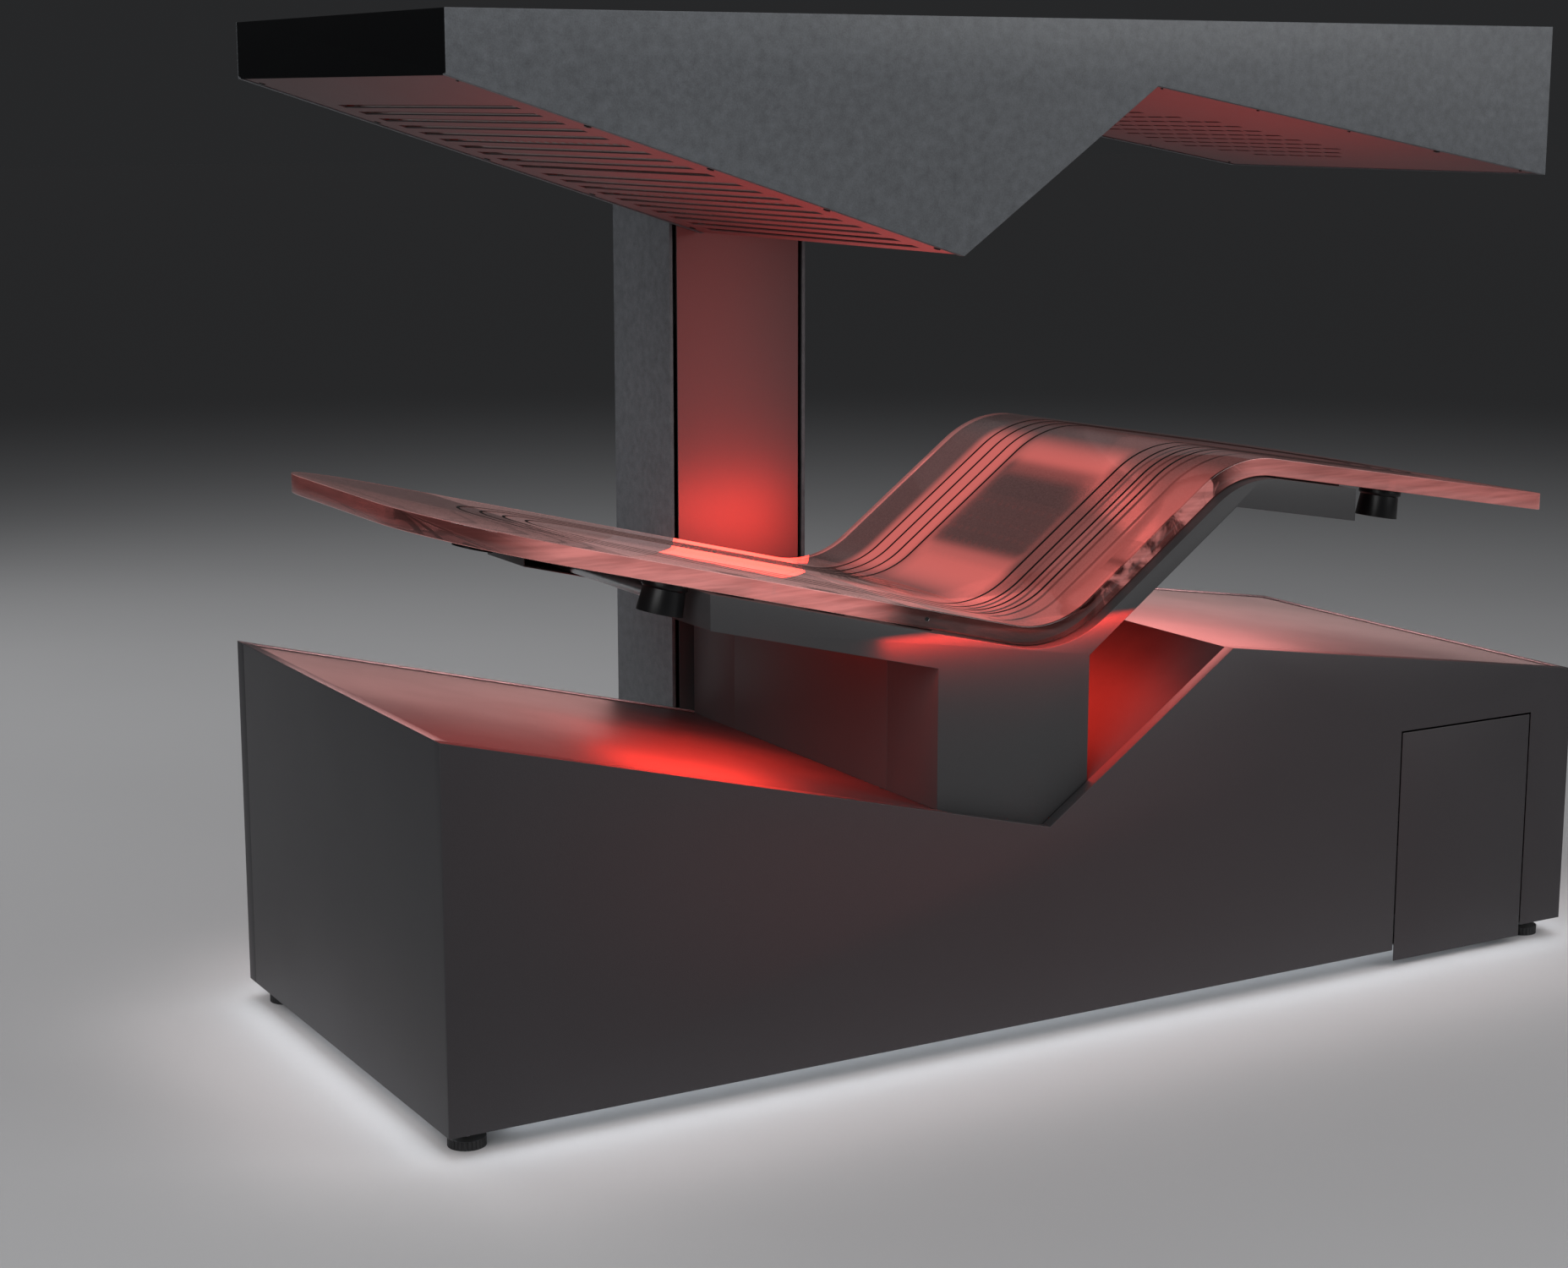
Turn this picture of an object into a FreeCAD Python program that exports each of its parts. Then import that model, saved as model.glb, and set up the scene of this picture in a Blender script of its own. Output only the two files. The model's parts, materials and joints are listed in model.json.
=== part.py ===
import FreeCAD, Part
import math
import os

# Light therapy bed: a cabinet with a folded top, a clear lounge slab on a pedestal,
# and a light canopy that rides up and down a column behind it.
# Millimetres. X runs from the head end to the foot end, Y from the front skin to the
# back, Z up from the floor. The saved pieces are shifted so that the origin lies on
# the floor, under the middle of the whole object's box.

# Cabinet
BASE_LENGTH = 2200.0
BASE_DEPTH = 858.0
GROUND_CLEARANCE = 32.0
HEAD_HEIGHT = 588.0
SEAT_X = 1052.0
SEAT_HEIGHT = 325.0
KNEE_X = 1418.0
KNEE_HEIGHT = 582.0
FOOT_END_HEIGHT = 466.0
SKIN = 2.0
FLANGE = 22.0
TOP_PANEL = 2.0
FLOOR_PAN = 2.0
REAR_WRAP = 30.0

# Service door in the front skin
DOOR_WIDTH = 300.0
DOOR_HEIGHT = 393.0
DOOR_LIP = 20.0
DOOR_GAP = 3.0
DOOR_FOOT_INSET = 100.0
PIVOT_INSET = 12.0
PIVOT_BACK = 9.0
HINGE_PIN_R = 3.0
HINGE_RUNNING = 0.05
HINGE_SIDE_GAP = 0.3
KNUCKLE_WIDTH = 16.0
KNUCKLE_DEPTH = 15.0
KNUCKLE_HEIGHT = 30.0
KNUCKLE_OFFSETS = (70.0, 300.0)
HINGE_ARM = 4.0
HINGE_ARM_R = 5.0
LEAF_BACK = 18.0
LEAF_T = 3.0
LEAF_LEFT = 26.0
LEAF_RIGHT = 52.0
STIFFENER_DEPTH = 8.0
STIFFENER_HEIGHT = 20.0
STIFFENER_INSET = 45.0
STIFFENER_OFFSETS = (30.0, 340.0)
CATCH_OFFSET = 190.0
CATCH_HEIGHT = 40.0
CATCH_DEPTH = 12.0
CATCH_REACH = 30.0
CATCH_FOOT = 24.0
CATCH_GAP = 0.3

# Chassis of angle section
ANGLE = 40.0
ANGLE_T = 4.0
SILL_INSET = 60.0
CROSS_OFFSETS = (560.0, 1460.0)
FOOT_BLOCK = 50.0
FOOT_BLOCK_HEIGHT = 20.0
BEAM_HALF = 50.0

# Levelling feet
FOOT_INSET = 48.0
FOOT_PAD_R = 29.0
FOOT_PAD_HEIGHT = 14.0
FOOT_STEM_R = 6.0
FOOT_STEM_ENTRY = 22.0
FOOT_NUT_R = 11.0
FOOT_NUT_HEIGHT = 8.0

# Light strips under the cabinet
GLOW_INSET = 70.0
GLOW_END = 120.0
GLOW_WIDTH = 14.0
GLOW_HEIGHT = 10.0

# Clear slab, heights above the skin's lower edge
SLAB_HEAD_INSET = 20.0
SLAB_FOOT_INSET = 35.0
SLAB_WIDTH = 770.0
SLAB_T = 30.0
SLAB_HEAD_Z = 894.0
SLAB_SEAT_X = 1088.0
SLAB_SEAT_Z = 633.0
SLAB_KNEE_X = 1445.0
SLAB_KNEE_Z = 900.0
SLAB_FOOT_Z = 780.0
SLAB_SEAT_R = 170.0
SLAB_KNEE_R = 200.0
SLAB_HEAD_CORNER = 230.0
SLAB_FOOT_CORNER = 40.0
LOOP_HEAD_MARGIN = 222.0
LOOP_FOOT_MARGIN = 72.0
LOOP_INNER_R = 150.0
LOOP_PITCH = 36.0
LOOP_COUNT = 4
LOOP_LINE = 5.0
LOOP_DEPTH = 1.2

# Bed frame under the slab
PAD = 3.0
PAD_LENGTH = 60.0
PAD_WIDTH = 50.0
PAD_INSET = 16.0
PAD_HEAD_STEPS = (34.0, 194.0, 354.0)
PAD_THIGH_STEPS = (142.0,)
PAD_FOOT_STEPS = (100.0, 180.0)
RAIL_SETBACK = 24.0
RAIL_WIDTH = 150.0
RAIL_T = 2.0
RAIL_HEAD_X = 446.0
RAIL_FOOT_X = 1692.0
ARM_DROP = 87.0
THIGH_DROP = 63.0
PEDESTAL_HEAD_REACH = 202.0
PEDESTAL_FOOT_REACH = 89.0
PEDESTAL_PANEL = 2.0
TRAY_TOP = 34.0
TRAY_DROP = 50.0
TRAY_T = 2.0
TRAY_END_INSET = 24.0
BOARD_T = 3.0
LED_BAR = 8.0
LED_BAR_T = 2.0
LED_PITCH = 40.0
BOARD_MARGIN = 20.0
BOARD_BEND_MARGIN = 110.0
BOARD_END_MARGIN = 20.0
SINK_BASE = 4.0
SINK_FIN = 18.0
SINK_FIN_T = 2.5
SINK_PITCH = 14.0
SINK_HALF_WIDTH = 140.0
HEAD_SINK_STEPS = (129.0, 319.0)
FOOT_SINK_STEPS = (-114.0, -50.0)
TIE_R = 13.0
TIE_WALL = 2.5
TIE_DROP = 70.0
TIE_HEAD_STEPS = (94.0, 354.0)
TIE_FOOT_STEPS = (-142.0, -24.0)
POST = 80.0
POST_WALL = 4.0
POST_SEAT_INSET = 57.0
POST_Y_OFFSET = 149.0
POST_CLEARANCE = 2.0
SADDLE = 40.0
SADDLE_GAP = 6.0
ACCENT_BAR = 14.0
ACCENT_HEIGHT = 12.0
ACCENT_DROP = 18.0
ACCENT_MARGIN = 20.0
ACCENT_HEAD_MARGIN = 24.0
ACCENT_SEAT_MARGIN = 88.0

# Transducer pucks under the slab
PUCK_R = 36.0
PUCK_HEIGHT = 48.0
PUCK_EDGE = 4.0
PUCK_HEAD_GAP = 43.0
PUCK_FOOT_GAP = 108.0

# Column behind the cabinet
COLUMN_X0 = 820.0
COLUMN_WIDTH = 280.0
COLUMN_DEPTH = 222.0
COLUMN_GAP = 4.0
COLUMN_HEIGHT = 1545.0
COLUMN_WALL = 3.0
COLUMN_RETURN = 7.0
COLUMN_SLOT = 8.0
CAP_T = 3.0
FOOT_PLATE_T = 8.0
FOOT_PLATE_SIDE = 30.0
FOOT_PLATE_REACH = 160.0
FOOT_PLATE_FOOT_INSET = 34.0
GUIDE = 20.0
GUIDE_DEPTH = 30.0
GUIDE_BACK = 68.0
CARRIAGE_BACK = 40.0
CARRIAGE_T = 10.0
CARRIAGE_Z = 1408.0
CARRIAGE_HEIGHT = 125.0
LIFT_TRAVEL = 300.0
ARM_T = 5.0
MOUNT_PLATE_T = 6.0
MOUNT_PLATE_SIDE = 20.0
MOUNT_PLATE_HEIGHT = 160.0
GLIDE_GAP = 0.3
GLIDE_WIDTH = 24.0
GLIDE_DEPTH = 40.0
GLIDE_HEIGHT = 35.0
LUG_HALF = 18.0
LUG_HEIGHT = 20.0
MOTOR_BACK = 148.0
MOTOR_R = 32.0
MOTOR_FOOT = 90.0
MOTOR_FOOT_HEIGHT = 60.0
ROD_R = 14.0
ROD_GAP = 0.3
ROD_SPARE = 40.0
ROD_BEARING = 360.0

# Canopy, heights above the skin's lower edge
CANOPY_HEAD_INSET = 36.0
CANOPY_FOOT_INSET = 125.0
CANOPY_FRONT = 6.0
CANOPY_BACK_INSET = 5.0
CANOPY_TOP = 1595.0
CANOPY_HEAD_Z = 1506.0
CANOPY_LOW_X = 877.0
CANOPY_LOW_Z = 1240.0
CANOPY_HIGH_X = 1237.0
CANOPY_HIGH_Z = 1494.0
CANOPY_FOOT_Z = 1346.0
CANOPY_LIP = 12.0
RIB = 10.0
RIB_HEIGHT = 40.0
RIB_HEAD_INSET = 264.0
RIB_FOOT_INSET = 215.0
SLOT_COUNT = 10
SLOT_GROUPS = 2
SLOT_HEAD_INSET = 136.0
SLOT_PITCH = 34.5
SLOT_GROUP_GAP = 12.0
SLOT_WIDTH = 15.0
SLOT_FRONT_INSET = 89.0
SLOT_BACK_INSET = 83.0
DASH_FOOT_INSET = 360.0
DASH_BACK_SHIFT = 71.0
DASH_REACH = (255.0, 245.0)
DASH_PITCH_X = 45.0
DASH_PITCH_Y = 50.0
DASH_LENGTH = 42.0
DASH_WIDTH = 11.0
CANOPY_BOARD_RISE = 16.0
CANOPY_BOARD_MARGIN = 18.0
CANOPY_LED = 10.0
CANOPY_LED_T = 4.0
SCREW_HEAD_R = 5.5
SCREW_HEAD = 1.8
SCREW_R = 2.5
SCREW_LENGTH = 10.0
SCREW_INSET = 30.0
SCREW_COUNT = 5

# Fans
FAN_SIZE = 120.0
FAN_DEPTH = 25.0
FAN_BORE_R = 57.0
FAN_HUB_R = 20.0
FAN_BLADE_R = 54.0
FAN_BLADES = 7
FAN_BLADE_T = 2.0
FAN_BLADE_CHORD = 15.0
FAN_PITCH_DEG = 35.0
FAN_STRUT = 8.0
FAN_STRUT_T = 3.0
FAN_SHAFT_R = 4.0
FAN_RUNNING = 0.05
FAN_ROTOR_Z = (4.0, 22.0)
BASE_FAN_FOOT_INSET = 480.0
BASE_FAN_Z = 190.0
CANOPY_FAN_FOOT_INSET = 515.0
VENT_SLOT = 6.0
VENT_PITCH = 12.0
VENT_COUNT = 9
VENT_LENGTH = 100.0

# Mains inlet with a rocker, and the boxes inside the cabinet
INLET_FOOT_INSET = 250.0
INLET_Z = 120.0
INLET_WIDTH = 46.0
INLET_HEIGHT = 72.0
INLET_DEPTH = 40.0
INLET_LIP = 4.0
INLET_LIP_T = 3.0
SOCKET_WIDTH = 27.0
SOCKET_HEIGHT = 20.0
SOCKET_DEPTH = 17.0
SOCKET_OFFSET = -17.0
ROCKER_OFFSET = 17.0
ROCKER_WIDTH = 20.0
ROCKER_HEIGHT = 26.0
ROCKER_FRONT = 6.0
ROCKER_BACK = 3.0
ROCKER_REST_DEG = 9.0
ROCKER_PIN_R = 1.5
ROCKER_RUNNING = 0.05
ROCKER_GAP = 0.6
ROCKER_DEPTH = 3.0
ROCKER_RECESS_DEPTH = 9.0
ROCKER_RECESS_HALF = 14.8
SUPPLY_SIZE = (340.0, 170.0, 95.0)
SUPPLY_POST_GAP = 100.0
SUPPLY_BACK = 300.0
CONTROL_SIZE = (200.0, 130.0, 190.0)
CONTROL_BACK = 165.0
BOX_FLANGE = 15.0
BOX_FLANGE_T = 3.0

# Places worked out from the driving dimensions
SKIN_Z = GROUND_CLEARANCE
PAN_TOP = SKIN_Z + FLOOR_PAN
MID_Y = BASE_DEPTH / 2
COLUMN_X1 = COLUMN_X0 + COLUMN_WIDTH
COLUMN_Y0 = BASE_DEPTH + COLUMN_GAP
COLUMN_Y1 = COLUMN_Y0 + COLUMN_DEPTH
COLUMN_TOP = SKIN_Z + COLUMN_HEIGHT
ORIGIN = FreeCAD.Vector(-BASE_LENGTH / 2, -COLUMN_Y1 / 2, 0)
DOOR_X1 = BASE_LENGTH - DOOR_FOOT_INSET
DOOR_X0 = DOOR_X1 - DOOR_WIDTH
DOOR_Z0 = SKIN_Z - DOOR_LIP
DOOR_Z1 = SKIN_Z + DOOR_HEIGHT
PIVOT_X = DOOR_X1 - PIVOT_INSET
SLAB_X0 = SLAB_HEAD_INSET
SLAB_X1 = BASE_LENGTH - SLAB_FOOT_INSET
SLAB_Y0 = MID_Y - SLAB_WIDTH / 2
SLAB_Y1 = MID_Y + SLAB_WIDTH / 2
LOOP_OUTER_R = LOOP_INNER_R + (LOOP_COUNT - 1) * LOOP_PITCH
LOOP_HEAD_X = SLAB_X0 + LOOP_HEAD_MARGIN + LOOP_OUTER_R
LOOP_FOOT_X = SLAB_X1 - LOOP_FOOT_MARGIN - LOOP_OUTER_R
PUCK_HEAD_X = RAIL_HEAD_X - PUCK_HEAD_GAP
PUCK_FOOT_X = RAIL_FOOT_X + PUCK_FOOT_GAP
PEDESTAL_X0 = SEAT_X - PEDESTAL_HEAD_REACH
PEDESTAL_X1 = SEAT_X + PEDESTAL_FOOT_REACH
POST_X = SEAT_X - POST_SEAT_INSET
RAIL_TOP_DROP = SLAB_T + PAD
FRONT_RAIL_Y = (RAIL_SETBACK, RAIL_SETBACK + RAIL_WIDTH)
REAR_RAIL_Y = (BASE_DEPTH - RAIL_SETBACK - RAIL_WIDTH, BASE_DEPTH - RAIL_SETBACK)
TRAY_X0 = RAIL_HEAD_X + TRAY_END_INSET
TRAY_X1 = RAIL_FOOT_X - TRAY_END_INSET
CANOPY_X0 = CANOPY_HEAD_INSET
CANOPY_X1 = BASE_LENGTH - CANOPY_FOOT_INSET
CANOPY_Y0 = CANOPY_FRONT
CANOPY_Y1 = BASE_DEPTH - CANOPY_BACK_INSET
CANOPY_ROOF = SKIN_Z + CANOPY_TOP
CANOPY_FAN_X = CANOPY_X1 - CANOPY_FAN_FOOT_INSET
SLOT_Y0 = CANOPY_Y0 + SLOT_FRONT_INSET
SLOT_Y1 = CANOPY_Y1 - SLOT_BACK_INSET
DASH_X = CANOPY_X1 - DASH_FOOT_INSET
DASH_Y = MID_Y + DASH_BACK_SHIFT
BASE_PROFILE = [
    (0.0, SKIN_Z + HEAD_HEIGHT),
    (SEAT_X, SKIN_Z + SEAT_HEIGHT),
    (KNEE_X, SKIN_Z + KNEE_HEIGHT),
    (BASE_LENGTH, SKIN_Z + FOOT_END_HEIGHT),
]
SLAB_PROFILE = [
    (SLAB_X0, SKIN_Z + SLAB_HEAD_Z),
    (SLAB_SEAT_X, SKIN_Z + SLAB_SEAT_Z),
    (SLAB_KNEE_X, SKIN_Z + SLAB_KNEE_Z),
    (SLAB_X1, SKIN_Z + SLAB_FOOT_Z),
]
CANOPY_PROFILE = [
    (CANOPY_X0, SKIN_Z + CANOPY_HEAD_Z),
    (CANOPY_LOW_X, SKIN_Z + CANOPY_LOW_Z),
    (CANOPY_HIGH_X, SKIN_Z + CANOPY_HIGH_Z),
    (CANOPY_X1, SKIN_Z + CANOPY_FOOT_Z),
]
HEAD, THIGH, FOOT = range(3)


# Shape helpers
def vec(x, y, z):
    return FreeCAD.Vector(x, y, z)


def box(x0, x1, y0, y1, z0, z1):
    return Part.makeBox(x1 - x0, y1 - y0, z1 - z0, vec(x0, y0, z0))


def drum(radius, height, base, axis):
    return Part.makeCylinder(radius, height, base, axis)


def fused(shapes):
    shapes = list(shapes)
    return shapes[0].multiFuse(shapes[1:]).removeSplitter() if len(shapes) > 1 else shapes[0]


def group(shapes):
    return Part.makeCompound(list(shapes))


def carved(shape, tools):
    return shape.cut(list(tools)).removeSplitter()


def prism(points, y0, y1):
    """Polygon of (x, z) points, extruded along Y."""
    corners = [vec(x, y0, z) for x, z in points]
    face = Part.Face(Part.makePolygon(corners + corners[:1]))
    return face.extrude(vec(0, y1 - y0, 0))


def line_z(profile, index, drop, x):
    """Height at x of one straight run of a profile, lowered square to itself."""
    (x0, z0), (x1, z1) = profile[index], profile[index + 1]
    slope = (z1 - z0) / (x1 - x0)
    return z0 + slope * (x - x0) - drop * math.hypot(1, slope)


def meeting_x(profile, index, drop, next_drop):
    """Where two neighbouring runs of a profile meet after each is lowered."""
    gap_at = [line_z(profile, index, drop, x) - line_z(profile, index + 1, next_drop, x) for x in (0.0, 1.0)]
    return gap_at[0] / (gap_at[0] - gap_at[1])


def lowered(profile, drop):
    """Profile parallel to the given one, a distance below it."""
    runs = range(len(profile) - 1)
    xs = [profile[0][0]] + [meeting_x(profile, i, drop, drop) for i in runs[:-1]] + [profile[-1][0]]
    return [(x, line_z(profile, min(i, runs[-1]), drop, x)) for i, x in enumerate(xs)]


def height_at(profile, x):
    """Height of a profile at x."""
    for i in range(len(profile) - 1):
        if x <= profile[i + 1][0] or i == len(profile) - 2:
            return line_z(profile, i, 0, x)


def clipped(profile, x0, x1):
    """The stretch of a profile between two x values."""
    inner = [p for p in profile if x0 < p[0] < x1]
    return [(x0, height_at(profile, x0))] + inner + [(x1, height_at(profile, x1))]


def band(profile, top, bottom, x0, x1, y0, y1):
    """Layer between two depths below a profile."""
    upper = clipped(lowered(profile, top), x0, x1)
    lower = clipped(lowered(profile, bottom), x0, x1)
    return prism(upper + lower[::-1], y0, y1)


def run_panel(profile, index, top, bottom, y0, y1):
    """Mitred sheet under one run of a profile."""
    upper, lower = lowered(profile, top), lowered(profile, bottom)
    return prism([upper[index], upper[index + 1], lower[index + 1], lower[index]], y0, y1)


def strip(profile, index, x0, x1, top, bottom, y0, y1):
    """Block between two depths below one straight run of a profile."""
    corners = [(x0, top), (x1, top), (x1, bottom), (x0, bottom)]
    return prism([(x, line_z(profile, index, drop, x)) for x, drop in corners], y0, y1)


def square_to(profile, index):
    """Unit vector pointing down, square to one run of a profile."""
    (x0, z0), (x1, z1) = profile[index], profile[index + 1]
    return vec(z1 - z0, 0, x0 - x1).normalize()


def rounded_face(corners, radii):
    """Face of a closed polygon of vectors, each corner rounded by its radius."""
    stops = []
    for i, corner in enumerate(corners):
        back = (corners[i - 1] - corner).normalize()
        ahead = (corners[(i + 1) % len(corners)] - corner).normalize()
        half = back.getAngle(ahead) / 2
        reach = radii[i] / math.tan(half)
        centre = corner + (back + ahead).normalize() * (radii[i] / math.sin(half))
        middle = centre + (corner - centre).normalize() * radii[i] if radii[i] else corner
        stops.append((corner + back * reach, middle, corner + ahead * reach, radii[i] > 0))
    edges = []
    for i, (start, middle, end, is_round) in enumerate(stops):
        edges.append(Part.LineSegment(stops[i - 1][2], start).toShape())
        if is_round:
            edges.append(Part.Arc(start, middle, end).toShape())
    return Part.Face(Part.Wire(edges))


def slab_layer(top, bottom, x0, x1, y0, y1):
    """Layer between two depths below the slab's curved upper face."""
    profile = clipped(SLAB_PROFILE, x0, x1)
    upper, lower = lowered(profile, top), lowered(profile, bottom)
    radii = [0, SLAB_SEAT_R + top, SLAB_KNEE_R - top, 0, 0, SLAB_KNEE_R - bottom, SLAB_SEAT_R + bottom, 0]
    corners = [vec(x, y0, z) for x, z in upper + lower[::-1]]
    return rounded_face(corners, radii).extrude(vec(0, y1 - y0, 0))


def save(name, shape):
    placed = shape.copy()
    placed.translate(ORIGIN)
    placed.exportStep(f"parts/{name}.step")


# Cabinet skins and panels
def cabinet_skin(y0, y1, flange_y0, flange_y1):
    outline = [(0.0, SKIN_Z)] + BASE_PROFILE + [(BASE_LENGTH, SKIN_Z)]
    flange = band(BASE_PROFILE, 0, SKIN, 0, BASE_LENGTH, flange_y0, flange_y1)
    return fused([prism(outline, y0, y1), flange])


def front_skin():
    skin = cabinet_skin(0, SKIN, 0, FLANGE)
    opening = box(DOOR_X0 - DOOR_GAP, DOOR_X1 + DOOR_GAP, 0, SKIN, SKIN_Z, DOOR_Z1 + DOOR_GAP)
    return carved(skin, [opening])


def vent_slots(x, y0, y1, z):
    """Row of level slots through an upright sheet."""
    first = z - VENT_PITCH * (VENT_COUNT - 1) / 2
    for i in range(VENT_COUNT):
        low = first + i * VENT_PITCH - VENT_SLOT / 2
        yield box(x - VENT_LENGTH / 2, x + VENT_LENGTH / 2, y0, y1, low, low + VENT_SLOT)


def rear_skin():
    back = BASE_DEPTH - SKIN
    skin = cabinet_skin(back, BASE_DEPTH, BASE_DEPTH - FLANGE, BASE_DEPTH)
    wraps = [end_plate(x, BASE_DEPTH - REAR_WRAP, back) for x in (0.0, BASE_LENGTH - SKIN)]
    fan_x, fan_z = BASE_LENGTH - BASE_FAN_FOOT_INSET, SKIN_Z + BASE_FAN_Z
    inlet_x, inlet_z = BASE_LENGTH - INLET_FOOT_INSET, SKIN_Z + INLET_Z
    inlet_hole = box(inlet_x - INLET_WIDTH / 2, inlet_x + INLET_WIDTH / 2, back, BASE_DEPTH,
                     inlet_z - INLET_HEIGHT / 2, inlet_z + INLET_HEIGHT / 2)
    return carved(fused([skin] + wraps), [inlet_hole] + list(vent_slots(fan_x, back, BASE_DEPTH, fan_z)))


def end_plate(x, y0, y1):
    top = lowered(BASE_PROFILE, SKIN)
    outline = [(x, SKIN_Z), (x, height_at(top, x)), (x + SKIN, height_at(top, x + SKIN)), (x + SKIN, SKIN_Z)]
    return prism(outline, y0, y1)


def end_panel(x, flange_x0, flange_x1):
    flange = band(BASE_PROFILE, 0, SKIN, flange_x0, flange_x1, FLANGE, BASE_DEPTH - FLANGE)
    return fused([end_plate(x, SKIN, BASE_DEPTH - REAR_WRAP), flange])


def post_boxes(grow, z0, z1):
    """The two posts' outlines, grown all round."""
    half = POST / 2 + grow
    for y in (MID_Y - POST_Y_OFFSET, MID_Y + POST_Y_OFFSET):
        yield box(POST_X - half, POST_X + half, y - half, y + half, z0, z1)


def top_panel(index):
    profile = clipped(BASE_PROFILE, SKIN, BASE_LENGTH - SKIN)
    panel = run_panel(profile, index, SKIN, SKIN + TOP_PANEL, SKIN, BASE_DEPTH - SKIN)
    return carved(panel, post_boxes(POST_CLEARANCE, SKIN_Z, SKIN_Z + HEAD_HEIGHT + KNEE_HEIGHT))


def foot_places():
    near, far = FOOT_INSET, BASE_LENGTH - FOOT_INSET
    return [(x, y) for x in (near, far) for y in (FOOT_INSET, BASE_DEPTH - FOOT_INSET)]


def column_foot_places():
    side = FOOT_PLATE_SIDE - FOOT_PLATE_FOOT_INSET
    return [(x, COLUMN_Y1 - FOOT_PLATE_FOOT_INSET) for x in (COLUMN_X0 - side, COLUMN_X1 + side)]


def stem_holes(places, z0, z1):
    return [drum(FOOT_STEM_R, z1 - z0, vec(x, y, z0), vec(0, 0, 1)) for x, y in places]


def floor_pan():
    pan = box(SKIN, BASE_LENGTH - SKIN, SKIN, BASE_DEPTH - SKIN, SKIN_Z, PAN_TOP)
    sweep = math.hypot(PIVOT_INSET, PIVOT_BACK)
    notch = box(DOOR_X0 - DOOR_GAP, PIVOT_X + sweep + DOOR_GAP, SKIN, PIVOT_BACK + sweep + DOOR_GAP, SKIN_Z, PAN_TOP)
    return carved(pan, [notch] + stem_holes(foot_places(), SKIN_Z, PAN_TOP))


# Chassis and feet
def angle_along_x(x0, x1, y_web, y_toe):
    web = box(x0, x1, min(y_web, y_web + math.copysign(ANGLE_T, y_toe - y_web)),
              max(y_web, y_web + math.copysign(ANGLE_T, y_toe - y_web)), PAN_TOP, PAN_TOP + ANGLE)
    return [web, box(x0, x1, min(y_web, y_toe), max(y_web, y_toe), PAN_TOP, PAN_TOP + ANGLE_T)]


def angle_along_y(x, y0, y1):
    return [box(x, x + ANGLE_T, y0, y1, PAN_TOP, PAN_TOP + ANGLE),
            box(x, x + ANGLE, y0, y1, PAN_TOP, PAN_TOP + ANGLE_T)]


def upright(x, y_web, y_toe):
    top = lowered(BASE_PROFILE, SKIN + TOP_PANEL)
    high = min(height_at(top, x), height_at(top, x + ANGLE))
    low_y, high_y = min(y_web, y_toe), max(y_web, y_toe)
    web_y0 = y_web if y_toe > y_web else y_web - ANGLE_T
    return [box(x, x + ANGLE_T, low_y, high_y, PAN_TOP, high),
            box(x, x + ANGLE, web_y0, web_y0 + ANGLE_T, PAN_TOP, high)]


def base_chassis():
    front, rear = SILL_INSET, BASE_DEPTH - SILL_INSET
    x0, x1 = SKIN, BASE_LENGTH - SKIN
    bars = angle_along_x(x0, x1, front, front + ANGLE) + angle_along_x(x0, x1, rear, rear - ANGLE)
    for x in (x0,) + CROSS_OFFSETS + (x1 - ANGLE,):
        bars += angle_along_y(x, front, rear)
    for x in (x0, x1 - ANGLE):
        bars += upright(x, front, front + ANGLE) + upright(x, rear, rear - ANGLE)
    leaf_y = PIVOT_BACK + LEAF_BACK + LEAF_T
    bars += upright(PIVOT_X + LEAF_RIGHT - ANGLE, leaf_y, leaf_y + ANGLE)
    beam_x0, beam_x1 = POST_X - BEAM_HALF, POST_X + BEAM_HALF
    bars.append(box(beam_x0, beam_x1, front, rear, PAN_TOP + ANGLE - ANGLE_T, PAN_TOP + ANGLE))
    for x in (beam_x0, beam_x1 - ANGLE_T):
        bars.append(box(x, x + ANGLE_T, front, rear, PAN_TOP, PAN_TOP + ANGLE))
    half = FOOT_BLOCK / 2
    for x, y in foot_places():
        bars.append(box(x - half, x + half, y - half, y + half, PAN_TOP, PAN_TOP + FOOT_BLOCK_HEIGHT))
    return carved(fused(bars), stem_holes(foot_places(), PAN_TOP, PAN_TOP + FOOT_BLOCK_HEIGHT))


def feet():
    """(x, y, height of the face that the lock nut meets) of every foot."""
    low = SKIN_Z - FOOT_PLATE_T
    return [(x, y, SKIN_Z) for x, y in foot_places()] + [(x, y, low) for x, y in column_foot_places()]


def foot_pads():
    up = vec(0, 0, 1)
    return group(drum(FOOT_PAD_R, FOOT_PAD_HEIGHT, vec(x, y, 0), up) for x, y, seat in feet())


def foot_stem(x, y, seat):
    up = vec(0, 0, 1)
    corners = [vec(x + FOOT_NUT_R * math.cos(math.radians(a)), y + FOOT_NUT_R * math.sin(math.radians(a)),
                   seat - FOOT_NUT_HEIGHT) for a in range(0, 361, 60)]
    nut = Part.Face(Part.makePolygon(corners)).extrude(up * FOOT_NUT_HEIGHT)
    entry = FOOT_STEM_ENTRY if seat == SKIN_Z else FOOT_PLATE_T
    stem = drum(FOOT_STEM_R, seat + entry - FOOT_PAD_HEIGHT, vec(x, y, FOOT_PAD_HEIGHT), up)
    return fused([stem, nut])


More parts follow.
